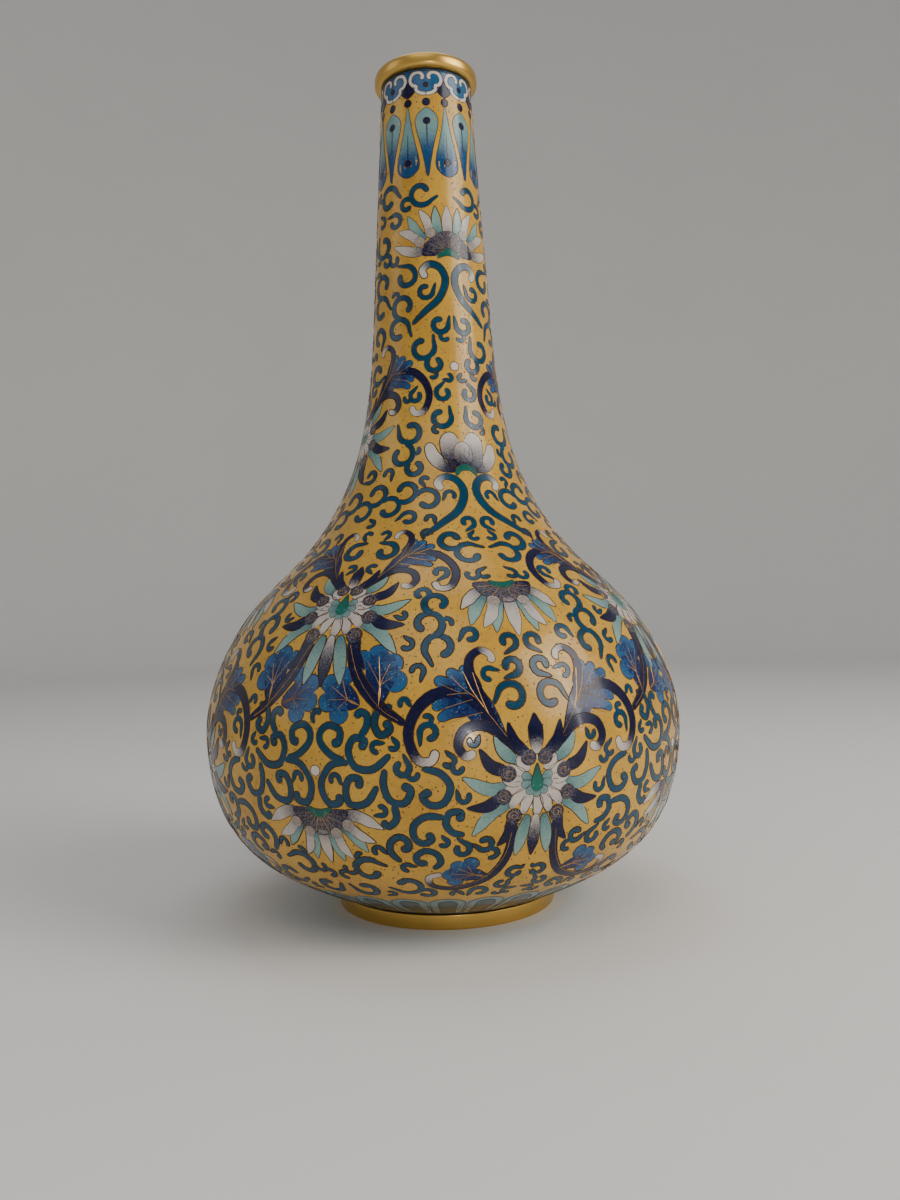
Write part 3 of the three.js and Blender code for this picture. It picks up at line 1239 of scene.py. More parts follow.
def foot_scrolls(centre: complex) -> list[Part]:
    """A pair of strong scrolls under a blossom.

    Args:
        centre: Centre of the right-hand roll.

    Returns:
        The parts of both.
    """
    line = tuple(centre + point for point in (9.5 - 20j, 4 - 15j, -2 - 9.6j, -5 - 2j, -2.8 + 3.6j, 2 + 5.2j,
                                              5 + 2.4j, 3.2 - 0.8j))
    return both(Hue.TEAL, Stroke(line, (0.7, 1.2, 1.4, 1.5, 1.6, 1.6, 1.5, 1.5), SHORT_TIP, steps=34), 2, 60)


def bud() -> list[Part]:
    """Closed bud with a heart-shaped body and two side petals."""
    fade = (0.08, 0.12, 0.35, 0.8, 1.0)
    side = pad((2.4 - 0.5j, 5 + 6j, 6 + 12.5j, 5.2 + 18j), (3.2, 4.6, 4.9, 4.8, 3.8), fade, 22, 4)
    core = pad((1j, 7j, 13j), (3.4, 4.4, 4.2, 3.0), (0.08, 0.4, 0.9), 18, 4)
    spread = Stroke((4 - 1.5j, 9.5 + 1j, 14 + 6j, 16.2 + 12.5j), (1.2, 2.8, 3.2, 2.9, 2.2),
                    (0.05, 0.12, 0.7, 1.0, 1.0), steps=20)
    cup = Stroke((-4.4 - 3.6j, -2.8 - 0.8j, 0.2j, 2.8 - 0.8j, 4.4 - 3.6j), (0.6, 1.2, 1.6, 1.2, 0.6), (0.4,),
                 End.ROUND)
    parts: list[Part] = [Cell(Hue.NAVY, side, 3, True, 50), Cell(Hue.NAVY, side.mirrored(), 2, True, 50),
                         Cell(Hue.NAVY, core, 4)]
    parts += both(Hue.NAVY, spread, 2)
    parts.append(Cell(Hue.GREEN, cup, 7))
    return parts + foot_scrolls(7.5 - 9.5j)


def spot_flower() -> list[Part]:
    """Small white boss."""
    return [Cell(Hue.WHITE, disc(0j, 2.0, 1.0), 3)]


def scroll_arm(points: Points, layer: int, half_width: float = 1.35) -> list[Part]:
    """A flowing scroll that ends in a round bulb, and its mirror image.

    Args:
        points: Points that its middle line passes through, from the root to the bulb.
        layer: Its layer.
        half_width: Half-width of its stroke.

    Returns:
        The cells.
    """
    shares = (0.7, 1.0, 1.0, 1.0, 1.0, 1.0, 1.05, 1.25)
    widths = tuple(half_width * share for share in shares)
    return both(Hue.TEAL, Stroke(points, widths, (0.05, 0.08, 0.12), steps=30), layer, 70)


def boss_scrolls() -> list[Part]:
    """Four curled arms about the small boss, with the scrolls that branch from them."""
    arms = (
        (12.6 + 4.3j, 7.5 + 5.7j, 2.6 + 10.2j, 2.3 + 14.4j, 5.8 + 17j, 10.4 + 15.1j, 10 + 10.8j, 7.2 + 10.6j),
        (14.2 + 3.5j, 7.5 + 2.7j, 3 - 2.4j, 2.4 - 7.6j, 5 - 12.3j, 9.2 - 11.6j, 9.4 - 8.4j),
        (30 + 6.5j, 23.3 + 1.2j, 16.4 + 2j, 14 + 8j, 16.3 + 12.4j, 20.2 + 11.6j, 18.9 + 8.3j),
        (24.8 - 5j, 20.2 - 11.4j, 14 - 12.3j, 12.2 - 7.6j, 14 - 2.6j, 17.9 - 2.6j, 17.3 - 6j),
        (27.8 + 1.3j, 27.1 - 4.7j, 29.4 - 10.5j, 34.5 - 11.3j, 37.1 - 6.7j, 33.9 - 4.6j),
        (30.6 - 12j, 31.2 - 17.4j, 28 - 20.5j, 25.6 - 18.4j),
        (18.6 + 12.8j, 21 + 16.6j, 21 + 20.6j, 18.2 + 22j, 16.8 + 19.8j),
        (30.6 + 24j, 25.4 + 22.5j, 24 + 17.5j, 26.4 + 13.5j, 29.9 + 15.5j, 28 + 18.7j),
        (41.5 + 1.5j, 48 - 0.5j, 51.5 - 5.5j, 49 - 11.4j, 44.2 - 12.2j, 41.4 - 9j, 44.4 - 6.8j),
        (49 - 17j, 42.2 - 16.6j, 37.6 - 20j, 37.3 - 25j, 40.2 - 27.8j, 43.8 - 26.4j, 42.6 - 23.2j),
        (56.5 - 24.5j, 52 - 23.3j, 49.5 - 19.5j, 51 - 15.4j, 55 - 15.4j, 54.4 - 18.8j),
        (31 - 37j, 27.5 - 32j, 28 - 27.5j, 31.4 - 24.9j, 34.6 - 26.8j, 34.4 - 30.2j, 31.8 - 30.2j),
        (44 - 41j, 47 - 37.3j, 45.5 - 32.8j, 41 - 31.3j, 37.4 - 34.2j, 38.6 - 37.8j, 41.6 - 36.9j))
    parts = spot_flower()
    for number, points in enumerate(arms):
        parts += scroll_arm(points, number % 3)
    crown = Stroke((-0.6 + 17.4j, -1.7 + 20j, -0.2 + 22.3j, 1.9 + 21.2j), (0.6, 0.95, 1.0, 1.2), (0.05, 0.12))
    return parts + [Cell(Hue.TEAL, crown, 1)]


# ---------------------------------------------------------------- running scrolls


@dataclass(frozen=True)
class Coil:
    """One turn of the running scrolls.

    Attributes:
        centre: Its centre in the chart.
        radius: Radius of its middle line, in millimetres.
        start: Angle where its stroke enters, in degrees.
        turns: Turn of its stroke in degrees, anticlockwise where positive.
        half_width: Half-width of its stroke, in millimetres.
        ancestor: Number of the coil that it grows from, or -1.
    """

    centre: complex
    radius: float
    start: float
    turns: float
    half_width: float
    ancestor: int = -1

    @property
    def unit(self) -> float:
        """Size of a millimetre in the chart at its centre."""
        return SKIN.unit_at(self.centre)

    def anchor(self) -> Anchor:
        """Anchor at its centre."""
        return Anchor(math.degrees(self.centre.real), float(SKIN.length_at(np.array(self.centre.imag))))

    def stroke(self) -> Stroke:
        """The coil's stroke about its own centre."""
        hook = abs(self.turns) < 300
        line = curl(0j, self.radius, self.start, self.turns, self.radius * (0.62 if hook else 0.36), 12)
        if self.ancestor < 0:
            back = -1j * math.copysign(1, self.turns) * line[0] / abs(line[0])
            line.insert(0, line[0] * (1 + 1.1 / self.radius) + back * min(3.4, self.radius))
        width = self.half_width
        first = 1.0 if self.ancestor >= 0 else 0.4
        steps = 26 if self.radius > 3.8 else 18
        widths = tuple(width * share for share in (first, (first + 1) / 2, 1, 1, 1, 1, 1.05, 1.2))
        return Stroke(tuple(line), widths, (0.05, 0.08, 0.12), steps=steps)

    def covers(self, chart: np.ndarray, margin: float) -> np.ndarray:
        """Which chart points lie on the first part of its stroke, where others join it.

        Args:
            chart: The points.
            margin: Share of the half-width that counts.

        Returns:
            True for each covered point.
        """
        apart = (chart - self.centre) / self.unit
        near = np.abs(np.abs(apart) - self.radius) < self.half_width * margin
        turned = (np.degrees(np.angle(apart)) - self.start) * math.copysign(1, self.turns)
        return near & ((turned + 5) % 360 < 0.44 * abs(self.turns))


@dataclass(frozen=True)
class CoilPlan:
    """A coil with a place of its own.

    Attributes:
        centre: Its centre about the anchor, in millimetres.
        radius: Radius of its middle line.
        start: Angle where its stroke enters, in degrees.
        sense: 1 where it turns anticlockwise, -1 where it turns clockwise.
    """

    centre: complex
    radius: float
    start: float
    sense: int


OPEN_SPIN = 312.0
HOOK_SPIN = 235.0


@dataclass(frozen=True)
class Growth:
    """One round of growing coils.

    Attributes:
        sizes: Radii to try in millimetres, the largest first.
        half_width: Half-width of the strokes in millimetres.
        spin: Turn of a coil in degrees.
    """

    sizes: Values
    half_width: float
    spin: float = OPEN_SPIN


@dataclass
class ScrollField:
    """Scrolls that grow over what the motifs leave free in one mirror wedge of the body.

    Attributes:
        low_angle: The wedge's lower side in degrees, a mirror line.
        high_angle: Its upper side in degrees, a mirror line.
        low: Length up the outline where it starts, in millimetres.
        high: Length where it stops.
        seed: Seed of the choices.
        gap: Least ground between two coils, in millimetres.
        coils: The coils so far.
        MOST_CHAINS: Most chains that a round starts.
        MOST_BRANCHES: Most coils that grow from one.
        BRANCH_ANGLES: Angles along a coil at which others may grow from it, in degrees.
        LEAST_PLANTED: Radius under which a planted coil is left out, in millimetres.
    """

    low_angle: float
    high_angle: float
    low: float
    high: float
    seed: int
    gap: float = 0.4
    coils: list[Coil] = field(default_factory=list)
    MOST_CHAINS: ClassVar[int] = 400
    MOST_BRANCHES: ClassVar[int] = 3
    BRANCH_ANGLES: ClassVar[range] = range(52, 140, 8)
    LEAST_PLANTED: ClassVar[float] = 2.8

    def __post_init__(self) -> None:
        """Lays the grid on which free room is kept."""
        self.sides = (math.radians(self.low_angle), math.radians(self.high_angle))
        self.levels = (SKIN.level_at(self.low), SKIN.level_at(self.high))
        self.random = np.random.default_rng(self.seed)
        self.centres = np.empty(0, dtype=complex)
        self.radii = np.empty(0)
        self.owners = np.empty(0, dtype=int)
        rows = []
        for length in np.arange(self.low + 1.0, self.high - 1.0, 1.0):
            step = 1.0 / SKIN.radius_at(length)
            angles = np.arange(self.sides[0] + step, self.sides[1] - step, step)
            rows.append(angles + 1j * SKIN.level_at(length))
        self.grid = np.concatenate(rows)
        self.grid_unit = 1 / np.interp(self.grid.imag, SKIN.level, SKIN.radius)
        self.room = np.full(len(self.grid), 9.0)
        self._bound()

    def _bound(self) -> None:
        """Keeps the grid's room within the wedge's sides."""
        sides = np.minimum(self.grid.real - self.sides[0], self.sides[1] - self.grid.real)
        ends = np.minimum(self.grid.imag - self.levels[0], self.levels[1] - self.grid.imag)
        self.room = np.minimum(self.room, np.minimum(sides, ends) / self.grid_unit)

    def block(self, centres: np.ndarray, radii: np.ndarray, owner: int = -1) -> None:
        """Marks discs as taken.

        Args:
            centres: Chart points.
            radii: Radii in the chart.
            owner: Number of the coil that takes them, or -1.
        """
        margin = 0.4
        inside = ((centres.real > self.sides[0] - margin) & (centres.real < self.sides[1] + margin)
                  & (centres.imag > self.levels[0] - margin) & (centres.imag < self.levels[1] + margin))
        centres, radii = centres[inside], radii[inside]
        self.centres = np.concatenate([self.centres, centres])
        self.radii = np.concatenate([self.radii, radii])
        self.owners = np.concatenate([self.owners, np.full(len(centres), owner)])
        for centre, radius in zip(centres, radii):
            self.room = np.minimum(self.room, (np.abs(self.grid - centre) - radius) / self.grid_unit)

    def block_motif(self, anchor: Anchor, drawing: "Drawing") -> None:
        """Marks a motif's cells as taken."""
        for cell in drawing.parts:
            if isinstance(cell, Vein):
                continue
            line = cell.stroke.middle()
            width = cell.stroke.half_widths(line)
            chart = anchor.to_chart(line)
            self.block(chart, width * anchor.scale / SKIN.radius_at(anchor.length))

    def _free(self, centre: complex, reach: float, unit: float, but: int) -> float:
        """Free width round a disc, in millimetres, negative where it doesn't fit.

        Args:
            centre: The disc's centre.
            reach: Its radius in millimetres.
            unit: Size of a millimetre in the chart there.
            but: Number of the coil that it may touch.

        Returns:
            The free width.
        """
        sides = min(centre.real - self.sides[0], self.sides[1] - centre.real)
        ends = min(centre.imag - self.levels[0], self.levels[1] - centre.imag)
        free = min(sides, ends) / unit - reach - self.gap / 2
        others = self.owners != but
        if others.any():
            apart = np.abs(self.centres[others] - centre) - self.radii[others]
            free = min(free, float(apart.min()) / unit - reach - self.gap)
        return free

    def plant(self, anchor: Anchor, plans: Iterable["CoilPlan"], growth: Growth) -> None:
        """Sets coils at given places, made smaller where something is in their way.

        Args:
            anchor: Where the plans' origin lies.
            plans: The coils about it.
            growth: Round whose strokes they share.
        """
        for plan in plans:
            centre = complex(anchor.to_chart(np.array(plan.centre)))
            if not self.sides[0] < centre.real < self.sides[1]:
                continue
            unit = SKIN.unit_at(centre)
            free = self._free(centre, plan.radius + growth.half_width, unit, -2)
            radius = plan.radius + min(free, 0.0)
            if radius >= self.LEAST_PLANTED:
                turns = plan.sense * growth.spin
                self._settle(Coil(centre, radius, plan.start, turns, growth.half_width))

    def _settle(self, coil: Coil) -> int:
        """Takes a coil into the field and returns its number."""
        self.coils.append(coil)
        number = len(self.coils) - 1
        reach = (coil.radius + coil.half_width) * coil.unit
        self.block(np.array([coil.centre]), np.array([reach]), number)
        return number

    def _child(self, number: int, growth: Growth) -> Coil | None:
        """Looks for the best place for a coil that grows from another.

        Args:
            number: Number of the coil that it grows from.
            growth: The round.

        Returns:
            The coil, or None where nothing fits.
        """
        parent = self.coils[number]
        sense = math.copysign(1, parent.turns)
        best: tuple[float, Coil] | None = None
        for size in growth.sizes:
            for along in self.BRANCH_ANGLES:
                angle = parent.start + sense * along
                step = (parent.radius + size) * parent.unit
                centre = parent.centre + step * np.exp(1j * math.radians(angle))
                if not self.levels[0] < centre.imag < self.levels[1]:
                    continue
                unit = SKIN.unit_at(centre)
                free = self._free(centre, size + growth.half_width, unit, number)
                if free >= 0 and (best is None or free < best[0]):
                    turns = -sense * growth.spin
                    best = (free, Coil(centre, size, angle + 180, turns, growth.half_width, number))
            if best is not None:
                return best[1]
        return None

    def grow(self, growth: Growth) -> None:
        """Fills the wedge with chains of coils."""
        self._spread(list(range(len(self.coils))), growth)
        for _ in range(self.MOST_CHAINS):
            widest = self.room.max()
            size = next((size for size in growth.sizes if widest >= size + growth.half_width + self.gap),
                        growth.sizes[-1])
            fits = np.flatnonzero(self.room >= size + growth.half_width + self.gap)
            if not len(fits):
                return
            tight = fits[np.argsort(self.room[fits], kind="stable")[:max(1, len(fits) // 12)]]
            spot = self.grid[tight[self.random.integers(len(tight))]]
            sense = 1 if self.random.random() < 0.5 else -1
            start = float(self.random.uniform(0, 360))
            root = Coil(complex(spot), size, start, sense * growth.spin, growth.half_width)
            self._spread([self._settle(root)], growth)

    def _spread(self, queue: list[int], growth: Growth) -> None:
        """Grows coils from those in a queue, and from those in turn.

        Args:
            queue: Numbers of coils.
            growth: The round.
        """
        while queue:
            number = queue.pop(0)
            for _ in range(self.MOST_BRANCHES):
                child = self._child(number, growth)
                if child is None:
                    break
                queue.append(self._settle(child))

    def joined(self, number: int) -> list[Coil]:
        """Coils that a coil's edge runs into: the one that it grows from and those that grow from it."""
        coil = self.coils[number]
        near = [other for other in self.coils if other.ancestor == number]
        if coil.ancestor >= 0:
            near.append(self.coils[coil.ancestor])
        return near


def lift_of(layer: int) -> float:
    """Height of a layer's face over the polished ground, in millimetres."""
    return 0.030 + 0.006 * layer


def open_runs(loop: np.ndarray, hidden: np.ndarray) -> list[tuple[np.ndarray, bool]]:
    """Parts of a closed line that aren't hidden.

    Args:
        loop: Points of the line.
        hidden: True where a point is hidden.

    Returns:
        Each part with whether it is closed.
    """
    if not hidden.any():
        return [(loop, True)]
    first = int(np.argmax(hidden))
    loop = np.roll(loop, -first)
    hidden = np.roll(hidden, -first)
    runs, current = [], []
    for point, gone in zip(loop, hidden):
        if gone:
            if len(current) > 2:
                runs.append((np.array(current), False))
            current = []
        else:
            current.append(point)
    if len(current) > 2:
        runs.append((np.array(current), False))
    return runs


# ---------------------------------------------------------------- decoration of the body


@dataclass(frozen=True)
class Copy:
    """One of the repeats of a wedge.

    Attributes:
        turn: Turn round the axis, in degrees.
        mirror: Angle of the mirror line in degrees, or None.
    """

    turn: float = 0.0
    mirror: float | None = None

    def move(self, chart: np.ndarray) -> np.ndarray:
        """Chart points of the repeat."""
        angle = chart.real if self.mirror is None else 2 * math.radians(self.mirror) - chart.real
        return angle + math.radians(self.turn) + 1j * chart.imag


@dataclass
class Drawing:
    """A motif worked out once: its cells as grids, and the wires that show.

    Attributes:
        parts: Its cells and veins.
        grids: Each cell's enamel, points, tones and lift.
        wires: Each outline's points, with whether it is closed.
        veins: Each vein's points.
    """

    parts: list[Part]
    grids: list[tuple[Hue, np.ndarray, np.ndarray, float]] = field(default_factory=list)
    wires: list[tuple[np.ndarray, bool]] = field(default_factory=list)
    veins: list[np.ndarray] = field(default_factory=list)

    def __post_init__(self) -> None:
        """Works out the grids and the wires."""
        cells = [part for part in self.parts if isinstance(part, Cell)]
        for part in self.parts:
            if isinstance(part, Vein):
                self.veins.append(smooth_line(part.points, 4 * len(part.points)))
                continue
            grid, tone = part.stroke.grid()
            self.grids.append((part.hue, grid, tone, lift_of(part.layer)))
            if not part.wired:
                continue
            loop = np.concatenate([grid[:, 0], grid[::-1, -1]])
            hidden = np.zeros(len(loop), dtype=bool)
            for other in cells:
                kin = part.group > 0 and other.group == part.group
                if other is not part and (other.layer > part.layer or kin):
                    hidden |= other.covers(loop)
            self.wires += open_runs(loop, hidden)


@dataclass
class Panel:
    """Cells of one part of the body, kept by enamel, and the wires round them.

    Attributes:
        name: Start of its pieces' names.
        nodes: CAD nodes that its pieces stand for.
        inlays: Its inlay of each enamel.
        wires: Each outline's chart points, with whether it is closed.
        veins: Each vein's chart points.
    """

    name: str
    nodes: tuple[str, ...]
    inlays: dict[Hue, Inlay] = field(default_factory=dict)
    wires: list[tuple[np.ndarray, bool]] = field(default_factory=list)
    veins: list[np.ndarray] = field(default_factory=list)

    def _inlay(self, hue: Hue) -> Inlay:
        """The panel's inlay of an enamel, started when first asked for."""
        if hue not in self.inlays:
            self.inlays[hue] = Inlay(f"{self.name}_{hue.value}_cells", hue.finish, hue.slot, self.nodes)
        return self.inlays[hue]

    def lay(self, anchor: Anchor, cell: Cell, copy: Copy = Copy(), joined: Sequence[Coil] = ()) -> None:
        """Lays a cell and its wire.

        Args:
            anchor: Where its drawing lies.
            cell: The cell.
            copy: Repeat that it belongs to.
            joined: Coils whose strokes its edge runs into.
        """
        grid, tone = cell.stroke.grid()
        chart = anchor.to_chart(grid)
        lift = lift_of(cell.layer)
        self._inlay(cell.hue).grids.append((copy.move(chart), tone, lift))
        loop = np.concatenate([chart[:, 0], chart[::-1, -1]])
        hidden = np.zeros(len(loop), dtype=bool)
        for other in joined:
            hidden |= other.covers(loop, 0.93)
        for line, closed in open_runs(loop, hidden):
            self.wires.append((copy.move(line), closed))

    def draw(self, anchor: Anchor, drawing: "Drawing") -> None:
        """Lays a motif's drawing."""
        for hue, grid, tone, lift in drawing.grids:
            self._inlay(hue).grids.append((anchor.to_chart(grid), tone, lift))
        for line, closed in drawing.wires:
            self.wires.append((anchor.to_chart(line), closed))
        self.veins += [anchor.to_chart(line) for line in drawing.veins]

    def scroll(self, scrolls: ScrollField, turn: float) -> None:
        """Lays a wedge of scrolls and its mirror image.

        Args:
            scrolls: The wedge.
            turn: Turn of both round the axis, in degrees.
        """
        for mirror in (None, FRONT_AXIS):
            for number, coil in enumerate(scrolls.coils):
                cell = Cell(Hue.TEAL, coil.stroke(), number % 3)
                self.lay(coil.anchor(), cell, Copy(turn, mirror), scrolls.joined(number))

    def ring(self, length: float) -> None:
        """Adds a wire right round the body at a length up the outline."""
        angles = np.linspace(0, 2 * math.pi, 144, endpoint=False)
        self.wires.append((angles + 1j * SKIN.level_at(length), True))

    def build(self) -> list[bpy.types.Object]:
        """Makes the panel's pieces.

        Returns:
            The inlays and the wires.
        """
        pieces = [inlay.build() for inlay in self.inlays.values()]
        net = WireNet(f"{self.name}_wires", PAINTED_SHADE_WIRE, self.nodes)
        for line, closed in self.wires:
            net.add(line, closed)
        pieces.append(net.build())
        if self.veins:
            bright = WireNet(f"{self.name}_veins", VEIN, self.nodes, radius=0.22, sink=0.09)
            for line in self.veins:
                bright.add(line, False)
            pieces.append(bright.build())
        return pieces


@dataclass
class BellyDecoration:
    """Lotus scrolls on the two body parts, from over the lappets to the root of the neck.

    Attributes:
        low: Length up the outline where it starts, in millimetres.
        high: Length where it stops.
        sides: Names of the four repeats.
        seed: Seed of the scrolls.
        rounds: How the scrolls grow.
        over_lotus: Coils set over the lower lotus.
        scrolls: Its scrolls, once they are grown.
    """

    low: float = 35.5
    high: float = 206.0
    sides: tuple[str, ...] = ("front", "right", "back", "left")
    seed: int = 11
    rounds: tuple[Growth, ...] = (Growth((5.9, 5.4, 5.0, 4.6, 4.2), 1.35), Growth((3.8, 3.4, 3.0), 1.15),
                                  Growth((2.6, 2.3, 2.0, 1.7), 0.95, HOOK_SPIN))
    over_lotus: tuple[CoilPlan, ...] = (
        CoilPlan(-8.2 + 30.5j, 5.8, 170, -1), CoilPlan(-6.6 + 43j, 5.4, -90, 1))
    scrolls: ScrollField | None = None

    def motifs(self) -> list[tuple[Anchor, "Drawing"]]:
        """Blossoms of one repeat."""
        between = FRONT_AXIS - SECTOR / 2
        return [(Anchor(FRONT_AXIS, 92.0), Drawing(full_lotus() + lower_stems())),
                (Anchor(FRONT_AXIS, 172.0), Drawing(half_lotus(False))),
                (Anchor(between, 162.6), Drawing(full_lotus() + upper_stems())),
                (Anchor(between, 80.6), Drawing(half_lotus(True))),
                (Anchor(between, 96.6), Drawing(boss_scrolls()))]

    def build(self) -> list[bpy.types.Object]:
        """Lays the blossoms, grows the scrolls between them and repeats both round the body.

        Returns:
            The pieces.
        """
        scrolls = ScrollField(FRONT_AXIS - SECTOR / 2, FRONT_AXIS, self.low, self.high, self.seed)
        motifs = self.motifs()
        for anchor, drawing in motifs:
            scrolls.block_motif(anchor, drawing)
        scrolls.plant(motifs[0][0], self.over_lotus, self.rounds[0])
        for growth in self.rounds:
            scrolls.grow(growth)
        self.scrolls = scrolls
        pieces: list[bpy.types.Object] = []
        for index, side in enumerate(self.sides):
            turn = index * SECTOR
            panel = Panel(f"belly_{side}", BELLY_NODES)
            for anchor, drawing in motifs:
                panel.draw(anchor.turned_round(turn), drawing)
            panel.scroll(scrolls, turn)
            pieces += panel.build()
            LOG.info("belly, %s: %d coils in its wedge", side, len(scrolls.coils))
        return pieces


@dataclass
class NeckDecoration:
    """Scrolls on the neck, with fans and buds in front and behind and a small lotus each side.

    Attributes:
        low: Length up the outline where it starts, in millimetres.
        high: Length where it stops.
        sides: Names of the two repeats.
        seed: Seed of the scrolls.
        rounds: How the scrolls grow.
    """

    low: float = 200.0
    high: float = 368.0
    sides: tuple[str, ...] = ("front", "back")
    seed: int = 5
    rounds: tuple[Growth, ...] = (Growth((5.4, 5.0, 4.6, 4.2, 3.8), 1.2), Growth((3.4, 3.0, 2.7), 1.05),
                                  Growth((2.4, 2.1, 1.8, 1.6), 0.9, HOOK_SPIN))

    def motifs(self) -> list[tuple[Anchor, "Drawing"]]:
        """Blossoms of one repeat."""
        return [(Anchor(FRONT_AXIS, 334.0), Drawing(fan_lotus())),
                (Anchor(FRONT_AXIS, 236.0), Drawing(bud())),
                (Anchor(FRONT_AXIS, 283.0), Drawing(spot_flower())),
                (Anchor(FRONT_AXIS - 90, 255.0, 0.0, 0.86), Drawing(full_lotus()))]

    def build(self, belly: ScrollField) -> list[bpy.types.Object]:
        """Grows the scrolls over what the belly's scrolls and the blossoms leave free.

        Args:
            belly: Field of the belly's scrolls.

        Returns:
            The pieces.
        """
        scrolls = ScrollField(FRONT_AXIS - 90, FRONT_AXIS, self.low, self.high, self.seed)
        motifs = self.motifs()
        for anchor, drawing in motifs:
            scrolls.block_motif(anchor, drawing)
        mirror = Copy(0.0, FRONT_AXIS - SECTOR / 2)
        scrolls.block(belly.centres, belly.radii)
        scrolls.block(mirror.move(belly.centres), belly.radii)
        for growth in self.rounds:
            scrolls.grow(growth)
        pieces: list[bpy.types.Object] = []
        for index, side in enumerate(self.sides):
            turn = index * 180.0
            panel = Panel(f"neck_{side}", NECK_NODES)
            for anchor, drawing in motifs:
                panel.draw(anchor.turned_round(turn), drawing)
            panel.scroll(scrolls, turn)
            pieces += panel.build()
            LOG.info("neck, %s: %d coils in its wedge", side, len(scrolls.coils))
        return pieces


@dataclass
class MouthBands:
    """Band of hanging and standing drops, and the cloud-head collar over it.

    Attributes:
        repeats: Number of repeats round the neck.
        middle: Length up the outline of the drawing's origin, in millimetres.
        line: Length of the wire round the top of the collar.
    """

    repeats: int = 8
    middle: float = 392.0
    line: float = 416.6

    def drops(self, reach: float) -> list[Part]:
        """A standing drop, a hanging drop and two bosses.

        Args:
            reach: Half of a repeat's width in millimetres.

        Returns:
            The cells.
        """
        standing = petal((8j, 2j, -6j, -14j, -22.8j), (1.2, 4.5, 5.3, 4.9, 4.1, 3.3, 2.6, 2.0, 1.4, 0.9, 0.4),
                         (1.0, 0.95, 0.9, 0.6, 0.2, 0.05, 0.0, 0.0), 30, 4)
        hanging = Stroke(tuple(reach + height * 1j for height in (9, 1, -7, -15, -22.8)),
                         (0.3, 0.7, 1.2, 1.8, 2.4, 3.1, 3.9, 4.7, 5.2, 5.1, 3.6),
                         (1.0, 1.0, 0.95, 0.9, 0.65, 0.2, 0.05, 0.0), steps=30, columns=4)
        thread = (0.25, 0.2, 0.12)
        return [Cell(Hue.SHADED, standing, 1), Cell(Hue.SHADED, hanging, 1),
                Cell(Hue.NAVY, disc(1.8j, 1.6), 3), Cell(Hue.NAVY, disc(reach - 16.5j, 1.6), 3),
                Cell(Hue.NAVY, Stroke((0.4j, -5j, -10j), thread), 2, False),
                Cell(Hue.NAVY, Stroke((reach - 15j, reach - 9j, reach - 4j), thread), 2, False),
                Cell(Hue.NAVY, disc(10.6j, 1.8), 3), Cell(Hue.NAVY, disc(reach + 10.6j, 1.8), 3)]

    def clouds(self, reach: float) -> list[Part]:
        """A cloud-head ribbon with its pearl, and a lozenge.

        Args:
            reach: Half of a repeat's width in millimetres.

        Returns:
            The cells.
        """
        path = (2.1 + 21.2j, 1.4 + 23.2j, 3.4 + 24.9j, 6.4 + 24j, 7.5 + 21.2j,
                6.3 + 18.8j, 4.6 + 18.3j, 4.5 + 16.4j, 2.6 + 14.9j, 14.4j)
        cells = both(Hue.WHITE, Stroke(path, (0.85, 0.8), (1.0,), steps=36), 3, 70)
        path = (reach + 20.6j, reach + 16j, reach + 12.6j)
        lozenge = Stroke(path, (0.3, 1.0, 1.8, 2.8, 3.4, 2.0, 0.4), (0.0,),
                         End.POINT, End.POINT, steps=12, columns=4)
        return cells + [Cell(Hue.NAVY, disc(18.8j, 1.25), 3), Cell(Hue.NAVY, lozenge, 2)]

    def build(self) -> list[bpy.types.Object]:
        """Lays both bands.

        Returns:
            The pieces.
        """
        panel = Panel("mouth_bands", BAND_NODES)
        reach = SKIN.radius_at(self.middle) * math.pi / self.repeats
        drawing = Drawing(self.drops(reach) + self.clouds(reach))
        for index in range(self.repeats):
            panel.draw(Anchor(index * 360 / self.repeats, self.middle), drawing)
        panel.ring(self.line)
        return panel.build()


@dataclass
class FootLappets:
    """Ring of round-headed lappets over the foot.

    Attributes:
        count: Number of lappets.
        low: Length up the outline where they start, in millimetres.
        middle: Length of the drawing's origin.
        high: Length where they stop.
        line: Length of the wire under them.
    """

    count: int = 30
    low: float = 1.6
    middle: float = 18.0
    high: float = 33.5
    line: float = 0.9

    def build(self) -> list[bpy.types.Object]:
        """Lays the lappets.

        Returns:
            The pieces.
        """
        panel = Panel("foot", ("lappet_enamel", "lower_body_enamel"))
        unit = SKIN.radius_at(self.middle)
        half = unit * math.pi / self.count
        bottom = (SKIN.level_at(self.low) - SKIN.level_at(self.middle)) * unit
        top = (SKIN.level_at(self.high) - SKIN.level_at(self.middle)) * unit
        centre = (bottom + top) / 2
        outer = pad((bottom * 1j, centre * 1j, top * 1j), (half * 0.93,), (1.0,), 24, 4)
        inner = pad(((bottom + 2.2) * 1j, centre * 1j, (top - 2.6) * 1j), (half * 0.5,), (0.1,), 20, 4)
        drawing = Drawing([Cell(Hue.LAPPET, outer, 0), Cell(Hue.LAPPET, inner, 2)])
        for index in range(self.count):
            panel.draw(Anchor(index * 360 / self.count, self.middle), drawing)
        panel.ring(self.line)
        return panel.build()


# ---------------------------------------------------------------- turned parts


